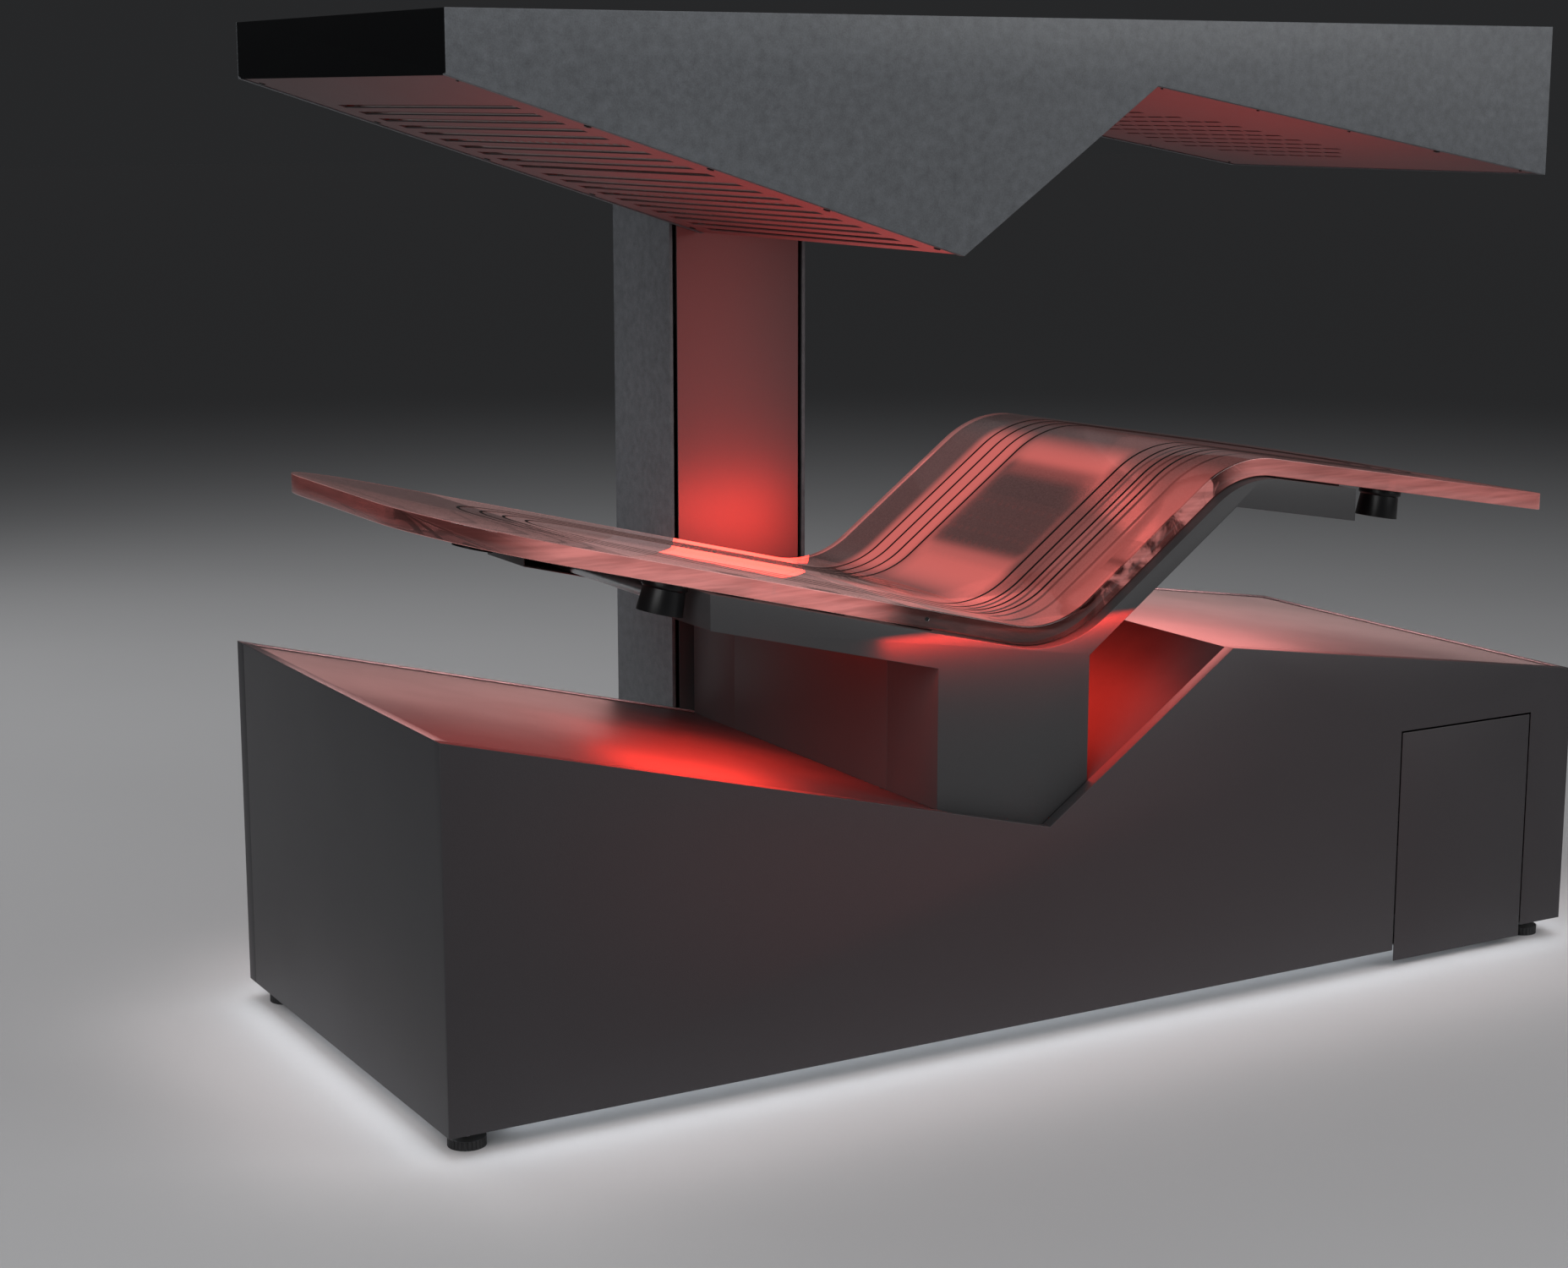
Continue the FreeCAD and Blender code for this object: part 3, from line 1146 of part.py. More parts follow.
def canopy_frame():
    top = CANOPY_ROOF - SKIN
    x0, x1 = CANOPY_X0 + SKIN, CANOPY_X1 - SKIN
    front, back = CANOPY_Y0 + SKIN, CANOPY_Y1 - SKIN
    ribs = [box(x0, x1, y, y + RIB, top - RIB_HEIGHT, top) for y in (front, back - RIB)]
    for x in (CANOPY_X0 + RIB_HEAD_INSET, CANOPY_HIGH_X, CANOPY_X1 - RIB_FOOT_INSET):
        ribs.append(box(x - RIB / 2, x + RIB / 2, front, back, top - RIB_HEIGHT, top))
    return fused(ribs)


def canopy_led_board():
    slots = list(slot_places())
    x0, x1 = slots[0] - CANOPY_BOARD_MARGIN, slots[-1] + SLOT_WIDTH + CANOPY_BOARD_MARGIN
    y0, y1 = SLOT_Y0 - CANOPY_BOARD_MARGIN, SLOT_Y1 + CANOPY_BOARD_MARGIN
    rise, seat = CANOPY_BOARD_RISE, 2 * SKIN
    pieces = [strip(CANOPY_PROFILE, HEAD, x0, x1, -rise - BOARD_T, -rise, y0, y1)]
    pieces += [strip(CANOPY_PROFILE, HEAD, x0, x1, -rise, -seat, y, y + BOARD_T) for y in (y0, y1 - BOARD_T)]
    inset = (SLOT_WIDTH - CANOPY_LED) / 2
    for x in slots:
        pieces.append(strip(CANOPY_PROFILE, HEAD, x + inset, x + inset + CANOPY_LED, -rise, CANOPY_LED_T - rise,
                            SLOT_Y0, SLOT_Y1))
    return fused(pieces)


def main():
    os.makedirs("parts", exist_ok=True)
    loops = loop_inlays()
    back = BASE_LENGTH - SKIN
    pieces = {
        "base_chassis": base_chassis(),
        "front_skin": front_skin(),
        "rear_skin": rear_skin(),
        "head_end_panel": end_panel(0.0, 0.0, FLANGE),
        "foot_end_panel": end_panel(back, BASE_LENGTH - FLANGE, BASE_LENGTH),
        "head_top_panel": top_panel(HEAD),
        "riser_panel": top_panel(THIGH),
        "foot_top_panel": top_panel(FOOT),
        "floor_pan": floor_pan(),
        "foot_pads": foot_pads(),
        "foot_stems": group(foot_stem(*place) for place in feet()),
        "underglow_strips": underglow_strips(),
        "service_door": service_door(),
        "door_knuckles": door_knuckles(),
        "door_hinge_brackets": group(hinge_bracket(*span) for span in knuckle_heights()),
        "door_hinge_pins": group(hinge_pin(*span) for span in knuckle_heights()),
        "door_catch": door_catch(),
        "power_supply": power_supply(),
        "control_unit": control_unit(),
        "mains_inlet": mains_inlet(),
        "power_rocker": power_rocker(),
        "base_fan_frame": in_rear_skin(fan_frame()),
        "base_fan_rotor": in_rear_skin(fan_rotor()),
        "bed_posts": bed_posts(),
        "pedestal_head_panel": pedestal_panel(PEDESTAL_X0, PEDESTAL_X0 + PEDESTAL_PANEL, HEAD),
        "pedestal_foot_panel": pedestal_panel(PEDESTAL_X1 - PEDESTAL_PANEL, PEDESTAL_X1, THIGH),
        "front_rail": front_rail(),
        "rear_rail": rear_rail(),
        "rail_ties": rail_ties(),
        "light_tray": light_tray(),
        "bed_led_boards": bed_led_boards(),
        "heat_sinks": heat_sinks(),
        "accent_light_bars": accent_light_bars(),
        "slab_pads": slab_pads(),
        "bed_slab": bed_slab(loops),
        "loop_inlays": group(loops),
        "transducer_pucks": transducer_pucks(),
        "column_shell": column_shell(),
        "column_front_cover": column_front_cover(),
        "column_top_cap": column_top_cap(),
        "column_foot_plate": column_foot_plate(),
        "column_guide_rails": column_guide_rails(),
        "lift_motor": lift_motor(),
        "lift_rod": lift_rod(),
        "lift_carriage": lift_carriage(),
        "carriage_glides": carriage_glides(),
        "canopy_front_skin": canopy_side_skin(CANOPY_Y0, CANOPY_Y0 + SKIN, CANOPY_Y0, CANOPY_Y0 + CANOPY_LIP),
        "canopy_rear_skin": canopy_side_skin(CANOPY_Y1 - SKIN, CANOPY_Y1, CANOPY_Y1 - CANOPY_LIP, CANOPY_Y1),
        "canopy_head_end": canopy_end(CANOPY_X0, HEAD),
        "canopy_foot_end": canopy_end(CANOPY_X1 - SKIN, FOOT),
        "canopy_top_panel": canopy_top_panel(),
        "canopy_slotted_panel": canopy_slotted_panel(),
        "canopy_steep_panel": canopy_steep_panel(),
        "canopy_vented_panel": canopy_vented_panel(),
        "canopy_screws": canopy_screws(),
        "canopy_frame": canopy_frame(),
        "canopy_led_board": canopy_led_board(),
        "canopy_fan_frame": in_canopy_roof(fan_frame()),
        "canopy_fan_rotor": in_canopy_roof(fan_rotor()),
    }
    for name, shape in pieces.items():
        save(name, shape)
        bad = "" if shape.isValid() else " INVALID"
        print(f"{name}: {len(shape.Solids)} solids, {shape.Volume / 1e6:.3f} litres{bad}")


main()
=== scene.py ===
import json
import logging
import math
from dataclasses import dataclass
from enum import Enum, IntEnum
from functools import cache, reduce
from typing import Callable

import bmesh
import bpy
from mathutils import Matrix, Vector

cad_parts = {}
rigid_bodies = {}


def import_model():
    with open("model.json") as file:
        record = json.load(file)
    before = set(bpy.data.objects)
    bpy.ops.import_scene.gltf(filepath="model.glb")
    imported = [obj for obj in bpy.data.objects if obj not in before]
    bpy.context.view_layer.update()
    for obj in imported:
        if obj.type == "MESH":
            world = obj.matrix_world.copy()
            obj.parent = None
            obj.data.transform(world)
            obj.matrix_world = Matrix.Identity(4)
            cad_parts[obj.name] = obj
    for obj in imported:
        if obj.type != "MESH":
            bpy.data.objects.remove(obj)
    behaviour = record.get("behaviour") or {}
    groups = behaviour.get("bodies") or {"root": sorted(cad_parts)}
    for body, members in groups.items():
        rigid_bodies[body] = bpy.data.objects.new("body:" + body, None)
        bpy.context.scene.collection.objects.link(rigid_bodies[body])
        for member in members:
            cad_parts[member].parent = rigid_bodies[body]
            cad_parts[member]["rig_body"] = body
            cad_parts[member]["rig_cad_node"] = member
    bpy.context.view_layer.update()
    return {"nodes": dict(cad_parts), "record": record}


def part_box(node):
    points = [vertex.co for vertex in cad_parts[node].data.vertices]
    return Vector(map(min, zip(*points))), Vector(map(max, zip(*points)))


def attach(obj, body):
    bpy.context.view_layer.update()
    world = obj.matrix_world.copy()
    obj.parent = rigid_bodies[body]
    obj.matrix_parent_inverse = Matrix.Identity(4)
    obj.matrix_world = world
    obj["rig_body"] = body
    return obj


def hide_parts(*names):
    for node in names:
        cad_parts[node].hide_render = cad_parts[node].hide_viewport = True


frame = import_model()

LOG = logging.getLogger("light_bed")
PHOTO_WIDTH = 1855
SENSOR_WIDTH = 36.0
NODE_SLOTS: dict[str, str] = {row["node"]: row["material_slot"] for row in frame["record"]["subparts"]}

Colour = tuple[float, float, float]
Point = tuple[float, float, float]
Span = tuple[float, float]
Piece = bpy.types.Object
Socket = bpy.types.NodeSocket
Sockets = bpy.types.bpy_prop_collection

BLACK: Colour = (0.0, 0.0, 0.0)
WHITE: Colour = (1.0, 1.0, 1.0)
RISE: Span = (0.0, 1.0)
FALL: Span = (1.0, 0.0)
WELD = 1e-6
TOUCH = 1e-5
NEAR = 1e-4
LOOKS_ALONG = 0.9


class Body(Enum):
    """Moving bodies that the modelled pieces ride on."""

    CABINET = "cabinet"
    CANOPY = "canopy"
    DOOR = "door"


class Part(Enum):
    """Kinds of mesh element, by the select mode that picks them."""

    VERTS = "VERT"
    EDGES = "EDGE"
    FACES = "FACE"


class End(Enum):
    """Flat ends of a round blank, by the way that they look along Z."""

    TOP = 1.0
    FOOT = -1.0


class Axis(Enum):
    """Directions of the shared frame."""

    X = (1.0, 0.0, 0.0)
    Y = (0.0, 1.0, 0.0)
    Z = (0.0, 0.0, 1.0)


class Run(IntEnum):
    """Straight runs of the lounge slab, from the head to the feet."""

    HEAD = 0
    THIGH = 1
    FOOT = 2


class Bench:
    """Operator steps that the modelled pieces share."""

    @staticmethod
    def clear() -> None:
        """Leaves edit mode and deselects everything."""
        if bpy.context.mode != "OBJECT":
            bpy.ops.object.mode_set(mode="OBJECT")
        bpy.ops.object.select_all(action="DESELECT")

    @staticmethod
    def activate(piece: Piece) -> None:
        """Makes one piece the only selected and active one."""
        Bench.clear()
        piece.select_set(True)
        bpy.context.view_layer.objects.active = piece

    @staticmethod
    def block(size: Point, centre: Point) -> Piece:
        """Adds a box blank.

        Args:
            size: Its lengths along X, Y and Z.
            centre: Its middle.

        Returns:
            The blank.
        """
        Bench.clear()
        bpy.ops.mesh.primitive_cube_add(size=1.0, location=centre)
        block = bpy.context.active_object
        block.scale = size
        bpy.ops.object.transform_apply(location=True, rotation=True, scale=True)
        return block

    @staticmethod
    def cylinder(sides: int, radius: float, height: float, base: float) -> Piece:
        """Adds a round blank on the Z axis.

        Args:
            sides: How many flat sides stand for the round.
            radius: Radius over the corners.
            height: Length along Z.
            base: Height of the lower end.

        Returns:
            The blank.
        """
        Bench.clear()
        bpy.ops.mesh.primitive_cylinder_add(vertices=sides, radius=radius, depth=height,
                                            location=(0.0, 0.0, base + height / 2))
        bpy.ops.object.transform_apply(location=True, rotation=True, scale=True)
        return bpy.context.active_object

    @staticmethod
    def edit(piece: Piece, part: Part) -> None:
        """Opens a piece in edit mode with nothing picked.

        Args:
            piece: The object to open.
            part: The kind of element that steps work on.
        """
        Bench.activate(piece)
        bpy.ops.object.mode_set(mode="EDIT")
        bpy.ops.mesh.select_mode(type=part.value)
        bpy.ops.mesh.select_all(action="DESELECT")

    @staticmethod
    def pick(piece: Piece, part: Part, test: Callable[[object], bool]) -> None:
        """Selects the elements of an open piece that pass a test.

        Args:
            piece: The object in edit mode.
            part: Which kind of element to look at.
            test: Says whether an element is wanted.
        """
        mesh = bmesh.from_edit_mesh(piece.data)
        for kind in (mesh.faces, mesh.edges, mesh.verts):
            for element in kind:
                element.select = False
        for element in getattr(mesh, part.name.lower()):
            if test(element):
                element.select_set(True)
        bmesh.update_edit_mesh(piece.data)

    @staticmethod
    def pick_end(piece: Piece, end: End) -> None:
        """Selects the faces at one end of an open round piece."""
        Bench.pick(piece, Part.FACES, lambda face: end.value * face.normal.z > LOOKS_ALONG)

    @staticmethod
    def stepped(inset: float, rise: float) -> None:
        """Insets the picked faces and moves them up, or down where the rise is negative."""
        bpy.ops.mesh.inset(thickness=inset)
        bpy.ops.transform.translate(value=(0.0, 0.0, rise))

    @staticmethod
    def cut(axis: Axis, place: float) -> None:
        """Cuts the whole open mesh square to an axis and leaves the cut picked."""
        bpy.ops.mesh.select_all(action="SELECT")
        bpy.ops.mesh.bisect(plane_co=Vector(axis.value) * place, plane_no=axis.value)

    @staticmethod
    def ease(width: float, sharp_deg: float = 60.0) -> None:
        """Rounds the sharp edges of the open mesh.

        Args:
            width: Width of the rounding.
            sharp_deg: Edges sharper than this are rounded.
        """
        bpy.ops.mesh.select_all(action="DESELECT")
        bpy.ops.mesh.edges_select_sharp(sharpness=math.radians(sharp_deg))
        bpy.ops.mesh.bevel(offset=width, segments=3, affect="EDGES", clamp_overlap=True)

    @staticmethod
    def close(piece: Piece, smooth_deg: float = 35.0) -> Piece:
        """Shades a piece, puts its place into its mesh and leaves it at the origin.

        Args:
            piece: The object that is finished.
            smooth_deg: Edges sharper than this stay crisp.

        Returns:
            The same object.
        """
        Bench.activate(piece)
        bpy.ops.object.transform_apply(location=True, rotation=True, scale=True)
        bpy.ops.object.shade_smooth_by_angle(angle=math.radians(smooth_deg))
        Bench.clear()
        return piece

    @staticmethod
    def join(pieces: list[Piece], name: str) -> Piece:
        """Joins several meshes into one.

        Args:
            pieces: The meshes.
            name: Name of the joined piece.

        Returns:
            The joined piece.
        """
        Bench.clear()
        for piece in pieces:
            piece.select_set(True)
        bpy.context.view_layer.objects.active = pieces[0]
        bpy.ops.object.join()
        joined = bpy.context.view_layer.objects.active
        joined.name = name
        return joined

    @staticmethod
    def repeated(model: Piece, places: list[Matrix], name: str) -> Piece:
        """Copies a model to several places and joins the copies; the model itself is taken away.

        Args:
            model: The piece that is copied.
            places: Where the copies go.
            name: Name of the joined piece.

        Returns:
            The joined piece.
        """
        copies = []
        for place in places:
            twin = model.copy()
            twin.data = model.data.copy()
            twin.data.transform(place)
            bpy.context.scene.collection.objects.link(twin)
            copies.append(twin)
        bpy.data.objects.remove(model)
        return Bench.close(Bench.join(copies, name))


class Nodes:
    """Small helper that wires one node tree."""

    def __init__(self, tree: bpy.types.NodeTree) -> None:
        """Keeps the tree that nodes are added to."""
        self.tree = tree

    def add(self, kind: str, settings: dict | None = None, **inputs: object) -> bpy.types.Node:
        """Adds a node and sets or links its inputs.

        Args:
            kind: The node's type name.
            settings: Properties of the node itself.
            inputs: Values or sockets by input name, with spaces written as underscores.

        Returns:
            The new node.
        """
        node = self.tree.nodes.new(kind)
        for key, value in (settings or {}).items():
            setattr(node, key, value)
        self.fill(node, **inputs)
        return node

    def fill(self, node: bpy.types.Node, **inputs: object) -> None:
        """Sets or links a node's inputs by name, with spaces written as underscores."""
        for key, value in inputs.items():
            self.feed(node.inputs[key.replace("_", " ")], value)

    def feed(self, socket: Socket, value: object) -> None:
        """Links a socket to another one, or sets its value."""
        if isinstance(value, Socket):
            self.tree.links.new(value, socket)
        else:
            socket.default_value = value

    def group(self, tree: bpy.types.NodeTree, **inputs: object) -> Sockets:
        """Outputs of a shared node group."""
        return self.add("ShaderNodeGroup", {"node_tree": tree}, **inputs).outputs

    def place(self) -> Socket:
        """Object coordinates of the point that is shaded."""
        return self.add("ShaderNodeTexCoord").outputs["Object"]

    def along(self, vector: Socket, axis: Axis) -> Socket:
        """One coordinate of a vector."""
        return self.add("ShaderNodeSeparateXYZ", Vector=vector).outputs[axis.name]

    def upward(self) -> Socket:
        """How far the surface looks up, from minus one to one."""
        return self.along(self.add("ShaderNodeNewGeometry").outputs["Normal"], Axis.Z)

    def noise(self, place: Socket, scale: object, detail: float, **others: float) -> Socket:
        """Level of a noise texture."""
        node = self.add("ShaderNodeTexNoise", Vector=place, Scale=scale, Detail=detail, **others)
        return node.outputs["Fac"]

    def cells(self, place: Socket, scale: object, feature: str = "F1", **others: float) -> Socket:
        """Distance from the middle of the nearest cell."""
        node = self.add("ShaderNodeTexVoronoi", {"feature": feature}, Vector=place, Scale=scale, **others)
        return node.outputs["Distance"]

    def maths(self, operation: str, first: object, second: object = 0.0, clamp: bool = False) -> Socket:
        """Wires one maths node.

        Args:
            operation: What it does.
            first: First value or socket.
            second: Second value or socket.
            clamp: Keeps the result between nought and one.

        Returns:
            Socket with the result.
        """
        node = self.add("ShaderNodeMath", {"operation": operation, "use_clamp": clamp})
        self.feed(node.inputs[0], first)
        self.feed(node.inputs[1], second)
        return node.outputs[0]

    def product(self, *factors: object) -> Socket:
        """Product of values or sockets."""
        return reduce(lambda first, second: self.maths("MULTIPLY", first, second), factors)

    def total(self, *terms: object) -> Socket:
        """Sum of values or sockets."""
        return reduce(lambda first, second: self.maths("ADD", first, second), terms)

    def mixed(self, factor: object, first: object, second: object) -> Socket:
        """Mixes two colours, each a plain opaque colour or a socket.

        Args:
            factor: Share of the second colour.
            first: First colour.
            second: Second colour.

        Returns:
            Socket with the mixed colour.
        """
        node = self.add("ShaderNodeMix", {"data_type": "RGBA"})
        for index, value in ((0, factor), (6, first), (7, second)):
            self.feed(node.inputs[index], (*value, 1.0) if isinstance(value, tuple) else value)
        return node.outputs[2]

    def ranged(self, value: object, span: Span, out: Span = RISE) -> Socket:
        """Maps a value smoothly from one span to another.

        Args:
            value: The value or socket.
            span: Where the change starts and ends.
            out: Results at the start and at the end.

        Returns:
            Socket with the result.
        """
        node = self.add("ShaderNodeMapRange", {"interpolation_type": "SMOOTHSTEP"}, Value=value,
                        From_Min=span[0], From_Max=span[1], To_Min=out[0], To_Max=out[1])
        return node.outputs[0]

    def scaled(self, colour: Colour, level: Socket) -> Socket:
        """Colour made brighter or darker by a level."""
        node = self.add("ShaderNodeVectorMath", {"operation": "SCALE"}, Scale=level)
        self.feed(node.inputs[0], colour)
        return node.outputs[0]

    def pulled(self, place: Socket, stretch: object) -> Socket:
        """Coordinates stretched by a factor on each axis."""
        node = self.add("ShaderNodeVectorMath", {"operation": "MULTIPLY"})
        self.feed(node.inputs[0], place)
        self.feed(node.inputs[1], stretch)
        return node.outputs[0]


def dimmed(colour: Colour, share: float) -> Colour:
    """A share of a colour."""
    return tuple(share * value for value in colour)


class Effects:
    """Shader node groups that several finishes share, each built once."""

    @staticmethod
    def group(name: str, inputs: dict[str, object], *outputs: str) -> tuple[Nodes, Sockets, Sockets]:
        """Starts a group with its sockets.

        Args:
            name: The group's name.
            inputs: Default by input name, a number or a vector.
            outputs: Names of the values that it puts out.

        Returns:
            A helper that wires the group's tree, what it is given and what it puts out.
        """
        tree = bpy.data.node_groups.new(name, "ShaderNodeTree")
        for key, value in inputs.items():
            kind = "NodeSocketVector" if isinstance(value, tuple) else "NodeSocketFloat"
            tree.interface.new_socket(key, in_out="INPUT", socket_type=kind).default_value = value
        for key in outputs:
            tree.interface.new_socket(key, in_out="OUTPUT", socket_type="NodeSocketFloat")
        nodes = Nodes(tree)
        return nodes, nodes.add("NodeGroupInput").outputs, nodes.add("NodeGroupOutput").inputs

    @staticmethod
    @cache
    def powder_grain() -> bpy.types.NodeTree:
        """Fine pebble grain of powder coat, with larger soft tone changes."""
        nodes, given, put = Effects.group(
            "powder_grain", {"Grain Size": 900.0, "Fleck": 0.2, "Cloud": 0.1, "Mottle": 0.05},
            "Tone", "Rough", "Height")
        place = nodes.place()
        fine = nodes.noise(place, given["Grain Size"], 3.0, Roughness=0.65)
        broad = nodes.noise(place, 2.2, 4.0, Roughness=0.55)
        blotch = nodes.noise(place, 60.0, 4.0, Roughness=0.6)
        pebbles = nodes.cells(place, given["Grain Size"], "SMOOTH_F1")
        swings = [nodes.product(nodes.total(level, -0.5), given[key])
                  for level, key in ((fine, "Fleck"), (broad, "Cloud"), (blotch, "Mottle"))]
        nodes.feed(put["Tone"], nodes.total(*swings, 1.0))
        nodes.feed(put["Rough"], nodes.total(nodes.product(broad, 0.16), -0.08))
        nodes.feed(put["Height"], nodes.total(pebbles, fine))
        return nodes.tree

    @staticmethod
    @cache
    def settled_dust() -> bpy.types.NodeTree:
        """Thin dust that lies on faces which look up."""
        nodes, given, put = Effects.group("settled_dust", {"Amount": 0.15}, "Mask")
        patches = nodes.noise(nodes.place(), 5.0, 6.0, Roughness=0.7)
        facing = nodes.ranged(nodes.upward(), (0.6, 1.0))
        spread = nodes.ranged(patches, (0.35, 0.75), (0.2, 1.0))
        nodes.feed(put["Mask"], nodes.product(facing, spread, given["Amount"]))
        return nodes.tree

    @staticmethod
    @cache
    def drawn_grain() -> bpy.types.NodeTree:
        """Fine parallel lines of rolled or drawn metal."""
        nodes, given, put = Effects.group(
            "drawn_grain", {"Stretch": (4.0, 220.0, 220.0)}, "Lines", "Blotch")
        place = nodes.place()
        lines = nodes.noise(nodes.pulled(place, given["Stretch"]), 3.0, 4.0, Roughness=0.7)
        nodes.feed(put["Lines"], lines)
        nodes.feed(put["Blotch"], nodes.cells(place, 45.0))
        return nodes.tree


class Finish:
    """Base of every finish: a material that is made on first use."""

    slot: str

    @cache
    def material(self) -> bpy.types.Material:
        """The finish's material, made once."""
        made = bpy.data.materials.new(self.slot)
        made.use_nodes = True
        made.node_tree.nodes.clear()
        nodes = Nodes(made.node_tree)
        shader = nodes.add("ShaderNodeBsdfPrincipled")
        nodes.add("ShaderNodeOutputMaterial", Surface=shader.outputs["BSDF"])
        self.wire(nodes, shader)
        return made

    def wire(self, nodes: Nodes, shader: bpy.types.Node) -> None:
        """Wires the finish into a shader; each finish has its own way.

        Args:
            nodes: The material's wiring helper.
            shader: The shader that takes the finish.
        """
        raise NotImplementedError

    @staticmethod
    def bumped(nodes: Nodes, shader: bpy.types.Node, height: Socket, strength: float, depth: float) -> None:
        """Feeds a height into the shader's normal."""
        bump = nodes.add("ShaderNodeBump", Height=height, Strength=strength, Distance=depth)
        nodes.feed(shader.inputs["Normal"], bump.outputs["Normal"])


@dataclass(frozen=True)
class GrainedSkin(Finish):
    """Skin with a fine grain, soft tone changes and a little dust on top faces."""

    slot: str
    colour: Colour
    roughness: float
    grain: float
    fleck: float
    cloud: float
    dust: float
    dust_colour: Colour
    relief: float
    relief_depth: float
    mottle: float = 0.05
    specular: float = 0.5

    def wire(self, nodes: Nodes, shader: bpy.types.Node) -> None:
        """Wires grain into colour, gloss and bump, and dust over the colour."""
        grain = nodes.group(Effects.powder_grain(), Grain_Size=self.grain, Fleck=self.fleck,
                            Cloud=self.cloud, Mottle=self.mottle)
        dust = nodes.group(Effects.settled_dust(), Amount=self.dust)
        skin = nodes.scaled(self.colour, grain["Tone"])
        nodes.fill(shader, Base_Color=nodes.mixed(dust["Mask"], skin, self.dust_colour),
                   Roughness=nodes.maths("ADD", grain["Rough"], self.roughness, clamp=True),
                   Specular_IOR_Level=self.specular)
        self.bumped(nodes, shader, grain["Height"], self.relief, self.relief_depth)


@dataclass(frozen=True)
class PowderCoat(GrainedSkin):
    """Matte powder coat on folded sheet."""

    roughness: float = 0.55
    grain: float = 700.0
    fleck: float = 0.35
    cloud: float = 0.2
    dust: float = 0.05
    dust_colour: Colour = (0.42, 0.4, 0.38)
    relief: float = 0.18
    relief_depth: float = 0.0004


@dataclass(frozen=True)
class Moulding(GrainedSkin):
    """Moulded plastic or rubber with a spark-eroded skin."""

    roughness: float = 0.5
    grain: float = 1400.0
    fleck: float = 0.25
    cloud: float = 0.3
    dust: float = 0.12
    dust_colour: Colour = (0.3, 0.29, 0.28)
    relief: float = 0.12
    relief_depth: float = 0.0003


@dataclass(frozen=True)
class DrawnMetal(Finish):
    """Bare or plated metal with fine lines."""

    slot: str
    colour: Colour
    roughness: float = 0.34
    stretch: Point = (4.0, 220.0, 220.0)
    blotch_share: float = 0.72
    blotch_spread: float = 0.7
    line_gloss: float = 0.22
    relief: float = 0.12
    relief_depth: float = 0.0003

    def wire(self, nodes: Nodes, shader: bpy.types.Node) -> None:
        """Wires drawn lines and blotches into colour, gloss and bump."""
        grain = nodes.group(Effects.drawn_grain(), Stretch=self.stretch)
        spread = nodes.maths("MULTIPLY", grain["Blotch"], self.blotch_spread, clamp=True)
        shade = nodes.mixed(spread, self.colour, dimmed(self.colour, self.blotch_share))
        gloss = nodes.product(grain["Lines"], self.line_gloss)
        nodes.fill(shader, Base_Color=shade, Metallic=1.0,
                   Roughness=nodes.total(gloss, self.roughness - self.line_gloss / 2))
        self.bumped(nodes, shader, grain["Lines"], self.relief, self.relief_depth)


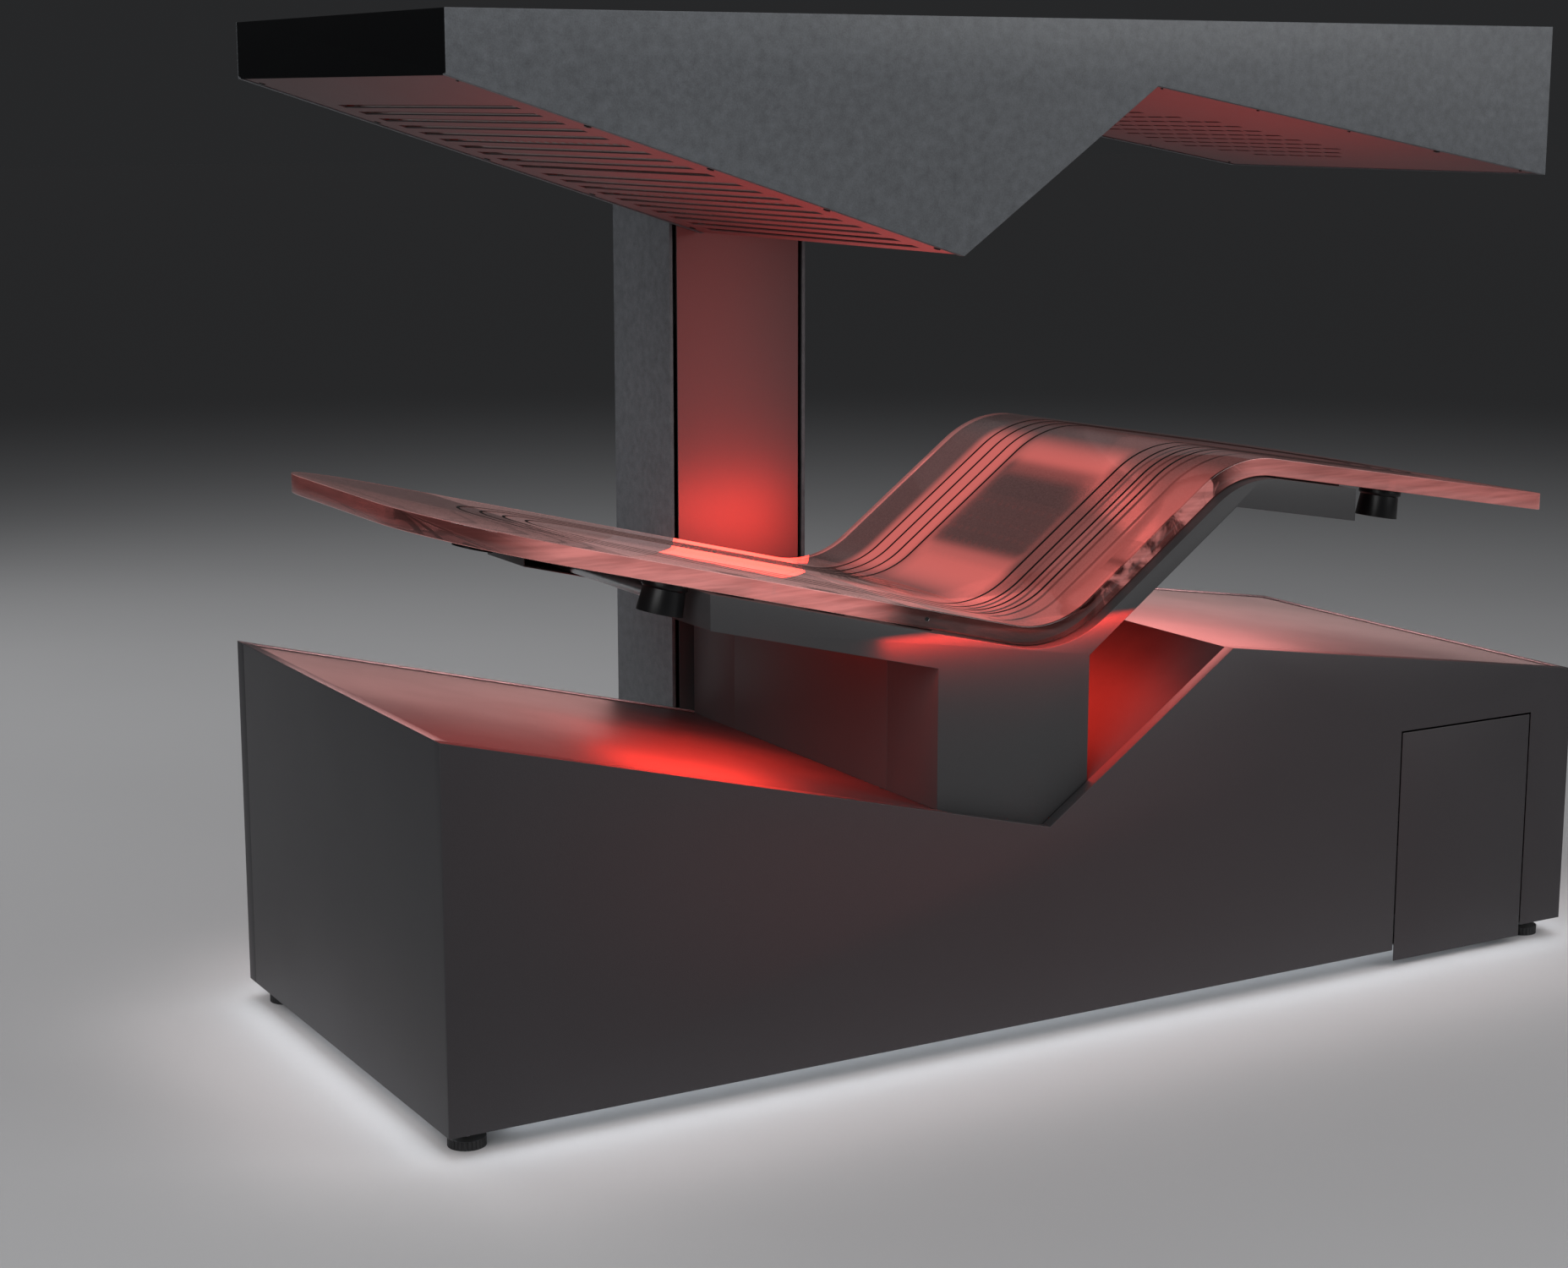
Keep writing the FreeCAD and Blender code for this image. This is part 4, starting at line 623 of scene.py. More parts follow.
@dataclass(frozen=True)
class LitAcrylic(Finish):
    """Thick polished smoky acrylic, with the red light from the boards under it painted into its glow by
    place.

    Places are in metres in the shared frame, x along the bed and y across it.
    """

    slot: str
    colour: Colour
    # Colours of the painted glow: red where the boards light the slab, a greyish pink haze of light at the
    # head.
    glow: Colour
    haze: Colour
    strength: float
    edge_tint: Colour = (0.006, 0.003, 0.003)
    edge_glow: Colour = (1.1, 0.38, 0.35)
    # Near-black colour of the painted shade along the front edge at the seat.
    soot: Colour = (0.004, 0.004, 0.004)
    deep: float = 0.9
    polished: float = 0.02
    wiped: float = 0.07
    refraction: float = 1.49
    edge_lean: Span = (0.35, 0.6)
    soft: float = 0.02
    front_y: Span = (-0.496, -0.493)
    near_y: Span = (-0.44, -0.41)
    field_y: Span = (-0.25, 0.03)
    rear_y: Span = (0.02, 0.06)
    far_y: Span = (0.15, 0.18)
    head_edge_x: Span = (-1.0, -0.86)
    pale_x: Span = (-0.78, -0.77)
    haze_end_x: Span = (-0.22, -0.02)
    lit_start_x: Span = (-0.06, 0.04)
    lit_end_x: Span = (0.285, 0.345)
    field_x: Span = (0.085, 0.262)
    soot_start_x: Span = (-0.4, -0.28)
    soot_solid_x: Span = (0.06, 0.11)
    soot_end_x: Span = (0.3, 0.4)
    foot_edge_x: Span = (0.2, 0.6)
    unlit: float = 0.04

    def wire(self, nodes: Nodes, shader: bpy.types.Node) -> None:
        """Wires a cast tint and wipe marks into a clear shader, the carried light as painted glow, and
        painted shade on the front edge.
        """
        place = nodes.place()
        x = nodes.along(place, Axis.X)
        y = nodes.along(place, Axis.Y)
        cast = nodes.mixed(nodes.noise(place, 3.0, 2.0), self.colour, dimmed(self.colour, self.deep))
        wipes = nodes.noise(place, 38.0, 5.0, Roughness=0.75, Distortion=0.6)
        edge = nodes.ranged(nodes.maths("ABSOLUTE", nodes.upward()), self.edge_lean, FALL)
        # Painted shade: a near-black band without glow along the front edge.
        dark = nodes.product(nodes.ranged(y, self.front_y, FALL), self.dark_edge(nodes, place, x))
        tint = nodes.mixed(edge, cast, self.edge_tint)
        carried = nodes.mixed(edge, self.carried(nodes, place, x, y), self.edge_light(nodes, place, x))
        nodes.fill(shader, Base_Color=nodes.mixed(dark, tint, self.soot),
                   Roughness=nodes.ranged(wipes, (0.45, 0.8), (self.polished, self.wiped)),
                   Emission_Color=nodes.mixed(dark, carried, BLACK), Emission_Strength=self.strength,
                   Transmission_Weight=1.0, IOR=self.refraction)

    def dark_edge(self, nodes: Nodes, place: Socket, x: Socket) -> Socket:
        """Mask of the painted shade along the front edge: solid at the seat, broken up towards the knee.

        Args:
            nodes: The material's wiring helper.
            place: Object coordinates.
            x: Place along the bed.

        Returns:
            Socket with the mask.
        """
        patches = nodes.noise(place, 16.0, 3.0, Roughness=0.6, Distortion=1.2)
        broken = nodes.product(nodes.ranged(patches, (0.4, 0.56), (0.25, 0.95)),
                               nodes.ranged(x, self.soot_end_x, FALL))
        solid = nodes.ranged(x, self.soot_solid_x, FALL)
        return nodes.product(nodes.ranged(x, self.soot_start_x), nodes.maths("MAXIMUM", solid, broken))

    def edge_light(self, nodes: Nodes, place: Socket, x: Socket) -> Socket:
        """Painted glow of the pale red light that leaves through the edge faces, streaked along them.

        Args:
            nodes: The material's wiring helper.
            place: Object coordinates.
            x: Place along the bed.

        Returns:
            Socket with the light's colour.
        """
        streaks = nodes.noise(nodes.pulled(place, (6.0, 1.0, 90.0)), 1.0, 3.0, Roughness=0.6)
        level = nodes.product(nodes.ranged(streaks, (0.3, 0.7), (0.6, 1.0)),
                              nodes.ranged(x, self.head_edge_x, (0.08, 1.0)),
                              nodes.ranged(x, self.foot_edge_x, (1.0, 0.6)))
        return nodes.scaled(self.edge_glow, level)

    def carried(self, nodes: Nodes, place: Socket, x: Socket, y: Socket) -> Socket:
        """Colour of the painted glow that stands for the light the slab's faces carry.

        Args:
            nodes: The material's wiring helper.
            place: Object coordinates.
            x: Place along the bed.
            y: Place across the bed.

        Returns:
            Socket with the glow's colour.
        """
        along = nodes.product(nodes.ranged(x, self.lit_start_x),
                              nodes.ranged(x, self.lit_end_x, (1.0, self.unlit)))
        middle_run = self.between(nodes, y, self.field_y)
        sides = nodes.total(nodes.ranged(y, self.near_y, (0.45, 0.2)),
                            nodes.ranged(y, self.rear_y, (0.0, 0.95)))
        across = nodes.product(nodes.maths("MAXIMUM", sides, middle_run),
                               nodes.ranged(y, self.far_y, (1.0, 0.06)))
        field = nodes.product(self.between(nodes, x, self.field_x), middle_run)
        level = nodes.product(along, across, nodes.ranged(field, RISE, (1.0, self.unlit)))
        speckle = nodes.ranged(nodes.noise(place, 320.0, 2.0, Roughness=0.8), (0.3, 0.7), (0.45, 1.3))
        hazy = nodes.product(nodes.ranged(x, self.pale_x, (0.4, 1.0)),
                             nodes.ranged(x, self.haze_end_x, (1.0, 0.17)), speckle)
        return nodes.mixed(level, nodes.scaled(self.haze, hazy), self.glow)

    def between(self, nodes: Nodes, value: Socket, span: Span) -> Socket:
        """Soft mask that is one inside a span and nought outside it."""
        low, high = span
        return nodes.product(nodes.ranged(value, (low - self.soft, low + self.soft)),
                             nodes.ranged(value, (high - self.soft, high + self.soft), FALL))


@dataclass(frozen=True)
class Diffuser(Finish):
    """Opal cover of a light strip, brighter over each diode."""

    slot: str
    colour: Colour
    strength: float
    pitch: float = 0.018
    dim: float = 0.6
    roughness: float = 0.4

    def wire(self, nodes: Nodes, shader: bpy.types.Node) -> None:
        """Wires soft diode spots into colour and glow."""
        spots = nodes.cells(nodes.place(), 1.0 / self.pitch, Randomness=0.12)
        bright = nodes.ranged(spots, (0.05, 0.75), (1.0, 0.55))
        shade = nodes.mixed(bright, dimmed(self.colour, self.dim), self.colour)
        nodes.fill(shader, Base_Color=shade, Emission_Color=shade, Emission_Strength=self.strength,
                   Roughness=self.roughness)


@dataclass(frozen=True)
class LightBoard(Finish):
    """Board with a pale mask and rows of diodes."""

    slot: str
    mask: Colour
    diode: Colour
    strength: float
    pitch: float = 0.02
    roughness: float = 0.45

    def wire(self, nodes: Nodes, shader: bpy.types.Node) -> None:
        """Wires diode dots into colour and glow."""
        dots = nodes.cells(nodes.place(), 1.0 / self.pitch, Randomness=0.0)
        inside = nodes.ranged(dots, (0.2, 0.34), FALL)
        halo = nodes.ranged(dots, (0.1, 0.9), (1.0, 0.35))
        nodes.fill(shader, Base_Color=nodes.mixed(inside, self.mask, self.diode),
                   Emission_Color=nodes.mixed(halo, BLACK, self.diode), Emission_Strength=self.strength,
                   Roughness=self.roughness)


@dataclass(frozen=True)
class FloorPaint(Finish):
    """Plain pale floor, with painted shade that darkens it far from the bed."""

    slot: str = "studio_floor"
    colour: Colour = (0.46, 0.46, 0.468)
    # Colour of the painted shade far from the bed.
    far: Colour = (0.05, 0.05, 0.052)
    fade: Span = (2.2, 10.0)
    dim: float = 0.95
    roughness: float = 0.75

    def wire(self, nodes: Nodes, shader: bpy.types.Node) -> None:
        """Wires soft clouds and the painted shade that grows with distance into the colour."""
        place = nodes.place()
        pale = nodes.mixed(nodes.noise(place, 1.3, 3.0), self.colour, dimmed(self.colour, self.dim))
        away = nodes.add("ShaderNodeVectorMath", {"operation": "LENGTH"})
        nodes.feed(away.inputs[0], place)
        shade = nodes.mixed(nodes.ranged(away.outputs["Value"], self.fade), pale, self.far)
        nodes.fill(shader, Base_Color=shade, Roughness=self.roughness)


FINISHES: dict[str, Finish] = {finish.slot: finish for finish in (
    PowderCoat("anthracite_coat", (0.029, 0.028, 0.031), roughness=0.46, specular=0.42),
    PowderCoat("grey_coat", (0.1, 0.107, 0.117), roughness=0.5, fleck=0.7, cloud=0.25, grain=420.0,
               mottle=0.9),
    PowderCoat("dark_coat", (0.042, 0.041, 0.043), dust=0.03),
    # Near black and almost without gloss: on the canopy's head end it paints the shade that end lies in.
    PowderCoat("black_coat", (0.0022, 0.0024, 0.0028), roughness=0.7, fleck=0.8, grain=420.0, dust=0.0,
               specular=0.06),
    DrawnMetal("zinc_steel", (0.56, 0.57, 0.58)),
    DrawnMetal("dark_steel", (0.05, 0.048, 0.048), roughness=0.4),
    DrawnMetal("bare_aluminium", (0.72, 0.73, 0.74), roughness=0.3, stretch=(220.0, 220.0, 5.0)),
    LightBoard("light_board", (0.4, 0.37, 0.36), (0.5, 0.08, 0.06), 0.02, pitch=0.03),
    Moulding("black_rubber", (0.014, 0.014, 0.015), roughness=0.62, grain=1000.0, relief=0.2),
    Moulding("black_plastic", (0.005, 0.005, 0.0055), roughness=0.34, specular=0.25),
    Moulding("case_plastic", (0.17, 0.17, 0.18)),
    Moulding("rocker_plastic", (0.02, 0.02, 0.02), roughness=0.22, relief=0.04),
    Diffuser("white_diffuser", (0.9, 0.95, 1.0), 2.0),
    Diffuser("red_diffuser", (1.0, 0.05, 0.03), 3.0),
    LightBoard("circuit_board", (0.16, 0.1, 0.095), (0.5, 0.12, 0.09), 0.12),
    LitAcrylic("clear_acrylic", (0.2, 0.14, 0.137), (0.76, 0.155, 0.135), (0.34, 0.19, 0.18), 0.52),
    Moulding("graphite_inlay", (0.004, 0.004, 0.004), roughness=0.5, specular=0.03),
)}


@dataclass
class LoungeCurve:
    """Side profile of the slab's upper face: three straight runs and two round bends, in metres."""

    head_z: float = 0.926
    seat_x: float = -0.012
    seat_z: float = 0.665
    knee_x: float = 0.345
    knee_z: float = 0.932
    foot_z: float = 0.812
    seat_r: float = 0.17
    knee_r: float = 0.2

    def __post_init__(self) -> None:
        """Reads the slab's ends from the frame."""
        low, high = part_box("bed_slab")
        self.points = ((low.x, self.head_z), (self.seat_x, self.seat_z),
                       (self.knee_x, self.knee_z), (high.x, self.foot_z))

    def line(self, run: int, depth: float) -> tuple[float, float]:
        """One run, lowered square to itself.

        Args:
            run: Index of the run.
            depth: How far below the upper face.

        Returns:
            Height at x = 0 and slope.
        """
        (x0, z0), (x1, z1) = self.points[run], self.points[run + 1]
        slope = (z1 - z0) / (x1 - x0)
        return z0 - slope * x0 - depth * math.hypot(1.0, slope), slope

    def meeting(self, run: int, depth: float) -> tuple[float, float]:
        """Point where a run and the next one meet, both lowered."""
        (a0, s0), (a1, s1) = self.line(run, depth), self.line(run + 1, depth)
        x = (a1 - a0) / (s0 - s1)
        return x, a0 + s0 * x

    def height(self, x: float, depth: float = 0.0) -> float:
        """Height of the curve at x, a depth below the upper face.

        Args:
            x: Place along the bed.
            depth: Distance below the upper face.

        Returns:
            Height above the floor.
        """
        for run, centre, radius, side in (
            (Run.HEAD, self.meeting(Run.HEAD, -self.seat_r), self.seat_r + depth, -1.0),
            (Run.THIGH, self.meeting(Run.THIGH, self.knee_r), self.knee_r - depth, 1.0),
        ):
            ends = []
            for index in (run, run + 1):
                slope = self.line(index, 0.0)[1]
                ends.append(centre[0] - side * radius * slope / math.hypot(1.0, slope))
            if ends[0] <= x <= ends[1]:
                return centre[1] + side * math.sqrt(radius * radius - (x - centre[0]) ** 2)
            if x < ends[0]:
                base, slope = self.line(run, depth)
                return base + slope * x
        base, slope = self.line(Run.FOOT, depth)
        return base + slope * x

    def up(self, run: Run) -> Vector:
        """Unit vector square to a run, pointing up."""
        slope = self.line(run, 0.0)[1]
        return Vector((-slope, 0.0, 1.0)).normalized()


def islands(node: str) -> list[list[Vector]]:
    """Corner points of every separate solid of a frame node.

    Args:
        node: The frame node.

    Returns:
        One list of points for each solid.
    """
    mesh = bmesh.new()
    mesh.from_mesh(frame["nodes"][node].data)
    bmesh.ops.remove_doubles(mesh, verts=mesh.verts, dist=WELD)
    left = set(mesh.verts)
    solids = []
    while left:
        ahead = [left.pop()]
        points = []
        while ahead:
            vertex = ahead.pop()
            points.append(vertex.co.copy())
            linked = {edge.other_vert(vertex) for edge in vertex.link_edges} & left
            left -= linked
            ahead.extend(linked)
        solids.append(points)
    mesh.free()
    return solids


def middle(points: list[Vector]) -> Vector:
    """Centre of the box round some points."""
    return Vector([(min(p[i] for p in points) + max(p[i] for p in points)) / 2 for i in range(3)])


def painted(piece: Piece, slot: str) -> None:
    """Gives a piece one finish in place of any other."""
    piece.data.materials.clear()
    piece.data.materials.append(FINISHES[slot].material())


def dressed(piece: Piece, slot: str, body: Body, *nodes: str) -> None:
    """Gives a piece its finish and its body, and hides the frame nodes that it stands for.

    Args:
        piece: The finished mesh.
        slot: Name of the finish.
        body: The body it rides on.
        nodes: Frame nodes that it stands for.
    """
    painted(piece, slot)
    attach(piece, body.value)
    if nodes:
        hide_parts(*nodes)
    LOG.info("%s: %d faces", piece.name, len(piece.data.polygons))


class FrameDress:
    """Finishes of the frame nodes that show as they are."""

    @staticmethod
    def build() -> None:
        """Gives every frame node the material of its slot."""
        for name, slot in NODE_SLOTS.items():
            painted(frame["nodes"][name], slot)


@dataclass
class LoungeSlab:
    """Clear slab with its inlaid loops, in metres."""

    curve: LoungeCurve
    thickness: float = 0.03
    head_corner: float = 0.23
    head_steps: int = 28
    foot_corner: float = 0.04
    foot_steps: int = 10
    polish: float = 0.003
    smooth_deg: float = 40.0
    slice_step: float = 0.03
    bend_step: float = 0.008
    bend_reach: float = 0.13
    loop_head_x: float = -0.6
    loop_foot_x: float = 0.735
    loop_inner_r: float = 0.15
    loop_pitch: float = 0.036
    loop_count: int = 4
    loop_line: float = 0.005
    loop_sides: int = 96
    loop_proud: float = 0.0003
    loop_depth: float = 0.001

    def __post_init__(self) -> None:
        """Reads the slab's plan from the frame."""
        self.low, self.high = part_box("bed_slab")
        self.mid_y = (self.low.y + self.high.y) / 2

    def build(self) -> None:
        """Builds and dresses the slab and its loops."""
        dressed(self.plate(), "clear_acrylic", Body.CABINET, "bed_slab")
        dressed(self.loops(), "graphite_inlay", Body.CABINET, "loop_inlays")

    def slices(self) -> list[float]:
        """Places along the bed where the flat blank is cut before it is bent."""
        places = []
        x = self.low.x + self.slice_step
        while x < self.high.x - self.slice_step / 2:
            places.append(x)
            near = min(abs(x - self.curve.seat_x), abs(x - self.curve.knee_x))
            x += self.bend_step if near < self.bend_reach else self.slice_step
        return places

    def plate(self) -> Piece:
        """Flat blank with rounded corners, cut across, then bent to the lounge curve."""
        plate = Bench.block((self.high.x - self.low.x, self.high.y - self.low.y, self.thickness),
                            ((self.low.x + self.high.x) / 2, self.mid_y, 0.0))
        plate.name = "lounge_slab"
        for side, radius, steps in ((self.low.x, self.head_corner, self.head_steps),
                                    (self.high.x, self.foot_corner, self.foot_steps)):
            Bench.edit(plate, Part.EDGES)
            Bench.pick(plate, Part.EDGES, lambda e: all(abs(v.co.x - side) < TOUCH for v in e.verts)
                       and abs(e.verts[0].co.z - e.verts[1].co.z) > self.thickness / 2)
            bpy.ops.mesh.bevel(offset=radius, segments=steps, affect="EDGES")
        Bench.edit(plate, Part.FACES)
        for x in self.slices():
            Bench.cut(Axis.X, x)
        Bench.clear()
        for vertex in plate.data.vertices:
            depth = 0.0 if vertex.co.z > 0.0 else self.thickness
            vertex.co.z = self.curve.height(vertex.co.x, depth)
        Bench.edit(plate, Part.EDGES)
        Bench.ease(self.polish)
        return Bench.close(plate, self.smooth_deg)

    def outline(self, radius: float) -> None:
        """Adds a circle at the loops' head end, as a new object or to the mesh that is open."""
        bpy.ops.mesh.primitive_circle_add(vertices=self.loop_sides, radius=radius,
                                          location=(self.loop_head_x, self.mid_y, 0.0))

    def ring(self, radius: float) -> Piece:
        """One inlaid line: two circles pulled out towards the foot end, bridged and laid on the slab.

        Args:
            radius: Half width of the loop at its middle line.

        Returns:
            The loop's mesh.
        """
        Bench.clear()
        self.outline(radius + self.loop_line / 2)
        ring = bpy.context.active_object
        bpy.ops.object.transform_apply(location=True, rotation=True, scale=True)
        Bench.edit(ring, Part.VERTS)
        self.outline(radius - self.loop_line / 2)
        Bench.pick(ring, Part.VERTS, lambda v: v.co.x > self.loop_head_x + TOUCH)
        bpy.ops.transform.translate(value=(self.loop_foot_x - self.loop_head_x, 0.0, 0.0))
        bpy.ops.mesh.select_all(action="SELECT")
        bpy.ops.mesh.bridge_edge_loops()
        for index in range(int((self.high.x - self.low.x) / self.bend_step)):
            x = self.low.x + index * self.bend_step
            if self.loop_head_x < x < self.loop_foot_x:
                Bench.cut(Axis.X, x)
        Bench.clear()
        for vertex in ring.data.vertices:
            vertex.co.z = self.curve.height(vertex.co.x) + self.loop_proud
        Bench.edit(ring, Part.FACES)
        bpy.ops.mesh.select_all(action="SELECT")
        bpy.ops.mesh.normals_make_consistent(inside=False)
        Bench.clear()
        return ring

    def loops(self) -> Piece:
        """All the inlaid lines as one piece with a little depth."""
        rings = [self.ring(self.loop_inner_r + i * self.loop_pitch) for i in range(self.loop_count)]
        loops = Bench.join(rings, "loop_lines")
        Bench.activate(loops)
        solid = loops.modifiers.new("depth", "SOLIDIFY")
        solid.thickness = self.loop_depth
        solid.offset = -1.0
        bpy.ops.object.modifier_apply(modifier="depth")
        return Bench.close(loops)


@dataclass
class Pucks:
    """Round pucks under the slab's edges, each with a pale bonding plate in its top, in metres."""

    curve: LoungeCurve
    radius: float = 0.036
    height: float = 0.048
    sides: int = 64
    foot_rim: float = 0.006
    foot_step: float = 0.003
    foot_ring: float = 0.014
    foot_hollow: float = 0.002
    seat_rim: float = 0.004
    seat_depth: float = 0.0012
    groove_top: float = 0.008
    groove_pitch: float = 0.0015
    groove_squeeze: float = 0.95
    edge: float = 0.0008
    plate_side: float = 0.042
    plate_corner: float = 0.005
    plate_gap: float = 0.0001
    slot_y: Span = (0.005, 0.008)
    slot_rim: float = 0.0006

    def build(self) -> None:
        """Builds and dresses the pucks and their plates."""
        places = self.places()
        pucks = Bench.repeated(self.puck(), places, "transducer_puck_set")
        dressed(pucks, "black_plastic", Body.CABINET, "transducer_pucks")
        dressed(Bench.repeated(self.plate(), places, "puck_plates"), "light_board", Body.CABINET)

    def places(self) -> list[Matrix]:
        """Places of the pucks, square to the run that each hangs from, top against the slab."""
        places = []
        for points in islands("transducer_pucks"):
            centre = middle(points)
            up = self.curve.up(Run.HEAD if centre.x < self.curve.seat_x else Run.FOOT)
            turn = Matrix.Rotation(math.atan2(up.x, up.z), 4, "Y")
            places.append(Matrix.Translation(centre + up * self.height / 2) @ turn)
        return places

    def puck(self) -> Piece:
        """One puck with its axis up and its top at the origin: a seat, a groove and a recessed foot."""
        puck = Bench.cylinder(self.sides, self.radius, self.height, -self.height)
        Bench.edit(puck, Part.FACES)
        Bench.pick_end(puck, End.FOOT)
        Bench.stepped(self.foot_rim, self.foot_step)
        Bench.stepped(self.foot_ring, self.foot_hollow)
        Bench.pick_end(puck, End.TOP)
        Bench.stepped(self.seat_rim, -self.seat_depth)
        for step, squeeze in enumerate((1.0, self.groove_squeeze, self.groove_squeeze, 1.0)):
            z = -self.groove_top - step * self.groove_pitch
            Bench.cut(Axis.Z, z)
            bpy.ops.transform.resize(value=(squeeze, squeeze, 1.0), center_override=(0.0, 0.0, z))
        Bench.ease(self.edge)
        return Bench.close(puck)

    def plate(self) -> Piece:
        """Bonding plate that lies in a puck's seat, with two slots across it."""
        thick = self.seat_depth - 2 * self.plate_gap
        low, high = self.slot_y
        plate = Bench.block((self.plate_side, self.plate_side, thick),
                            (0.0, 0.0, -self.plate_gap - thick / 2))
        Bench.edit(plate, Part.EDGES)
        Bench.pick(plate, Part.EDGES, lambda e: abs(e.verts[0].co.z - e.verts[1].co.z) > thick / 2)
        bpy.ops.mesh.bevel(offset=self.plate_corner, segments=5, affect="EDGES")
        for y in (-high, -low, low, high):
            Bench.cut(Axis.Y, y)
        Bench.pick(plate, Part.FACES, lambda f: f.normal.z > LOOKS_ALONG
                   and low < abs(f.calc_center_median().y) < high)
        bpy.ops.mesh.inset(thickness=self.slot_rim, use_individual=True)
        bpy.ops.transform.translate(value=(0.0, 0.0, -thick / 2))
        return Bench.close(plate)


@dataclass
class EdgeBolts:
    """Small bolt heads with a socket in the slab's front and rear edges, in metres."""

    slab: LoungeSlab
    x: float = -0.259
    radius: float = 0.0036
    length: float = 0.004
    sides: int = 24
    rim: float = 0.0016
    socket_depth: float = 0.0018
    sink: float = 0.0018

    def bolt(self) -> Piece:
        """One bolt head round the origin, its socket looking up."""
        bolt = Bench.cylinder(self.sides, self.radius, self.length, -self.length / 2)
        Bench.edit(bolt, Part.FACES)
        Bench.pick_end(bolt, End.TOP)
        Bench.stepped(self.rim, -self.socket_depth)
        return Bench.close(bolt)

    def build(self) -> None:
        """Builds the bolts in the middle of the slab's edge, their sockets looking out."""
        z = self.slab.curve.height(self.x, self.slab.thickness / 2)
        places = []
        for y, turn in ((self.slab.low.y + self.sink, math.pi / 2),
                        (self.slab.high.y - self.sink, -math.pi / 2)):
            places.append(Matrix.Translation((self.x, y, z)) @ Matrix.Rotation(turn, 4, "X"))
        dressed(Bench.repeated(self.bolt(), places, "edge_bolts"), "zinc_steel", Body.CABINET)


@dataclass
class SheetWork:
    """Folded sheets of the cabinet, the column and the canopy, with rounded folds."""

    edge: float = 0.0009
    flat_deg: float = 0.5
    sharp_deg: float = 25.0
    smooth_deg: float = 30.0

    def softened(self, node: str, body: Body) -> None:
        """Puts a copy with rounded edges in the place of a frame node.

        Args:
            node: The frame node.
            body: The body it rides on.
        """
        source = frame["nodes"][node]
        piece = source.copy()
        piece.data = source.data.copy()
        piece.name = f"{node}_sheet"
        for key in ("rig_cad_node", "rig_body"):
            del piece[key]
        piece.parent = None
        bpy.context.scene.collection.objects.link(piece)
        Bench.edit(piece, Part.EDGES)
        bpy.ops.mesh.select_all(action="SELECT")
        bpy.ops.mesh.remove_doubles(threshold=WELD)
        bpy.ops.mesh.dissolve_limited(angle_limit=math.radians(self.flat_deg))
        Bench.ease(self.edge, self.sharp_deg)
        dressed(Bench.close(piece, self.smooth_deg), NODE_SLOTS[node], body, node)

    def build(self) -> None:
        """Builds and dresses every folded sheet that shows."""
        for body, nodes in (
            (Body.CABINET, ("front_skin", "rear_skin", "head_end_panel", "foot_end_panel", "head_top_panel",
                            "riser_panel", "foot_top_panel", "front_rail", "rear_rail",
                            "pedestal_head_panel", "pedestal_foot_panel", "column_shell",
                            "column_front_cover", "column_top_cap")),
            (Body.DOOR, ("service_door",)),
            (Body.CANOPY, ("canopy_front_skin", "canopy_rear_skin", "canopy_head_end", "canopy_foot_end")),
        ):
            for node in nodes:
                self.softened(node, body)


@dataclass
class Feet:
    """Round levelling pads with a ribbed rim, in metres."""

    radius: float = 0.029
    height: float = 0.014
    ribs: int = 28
    sides_per_rib: int = 4
    rib_rim: float = 0.0006
    rib_squeeze: float = 0.965
    rib_height: float = 0.8
    rim: float = 0.007
    ring: float = 0.009
    step: float = 0.002

    def pad(self) -> Piece:
        """One pad standing at the origin, with a ribbed rim and a stepped top."""
        pad = Bench.cylinder(self.ribs * self.sides_per_rib, self.radius, self.height, 0.0)
        Bench.edit(pad, Part.FACES)
        pitch = math.tau / self.ribs
        Bench.pick(pad, Part.FACES, lambda f: abs(f.normal.z) < 0.5
                   and (math.atan2(f.calc_center_median().y, f.calc_center_median().x) % pitch) < pitch / 2)
        bpy.ops.mesh.inset(thickness=self.rib_rim, use_boundary=True)
        bpy.ops.transform.resize(value=(self.rib_squeeze, self.rib_squeeze, self.rib_height),
                                 center_override=(0.0, 0.0, self.height / 2))
        Bench.pick_end(pad, End.TOP)
        Bench.stepped(self.rim, -self.step)
        Bench.stepped(self.ring, self.step)
        return Bench.close(pad)

    def build(self) -> None:
        """Builds the pads at the places of the frame's own."""
        drop = Vector((0.0, 0.0, -self.height / 2))
        places = [Matrix.Translation(middle(points) + drop) for points in islands("foot_pads")]
        pads = Bench.repeated(self.pad(), places, "foot_pad_set")
        dressed(pads, "black_rubber", Body.CABINET, "foot_pads")


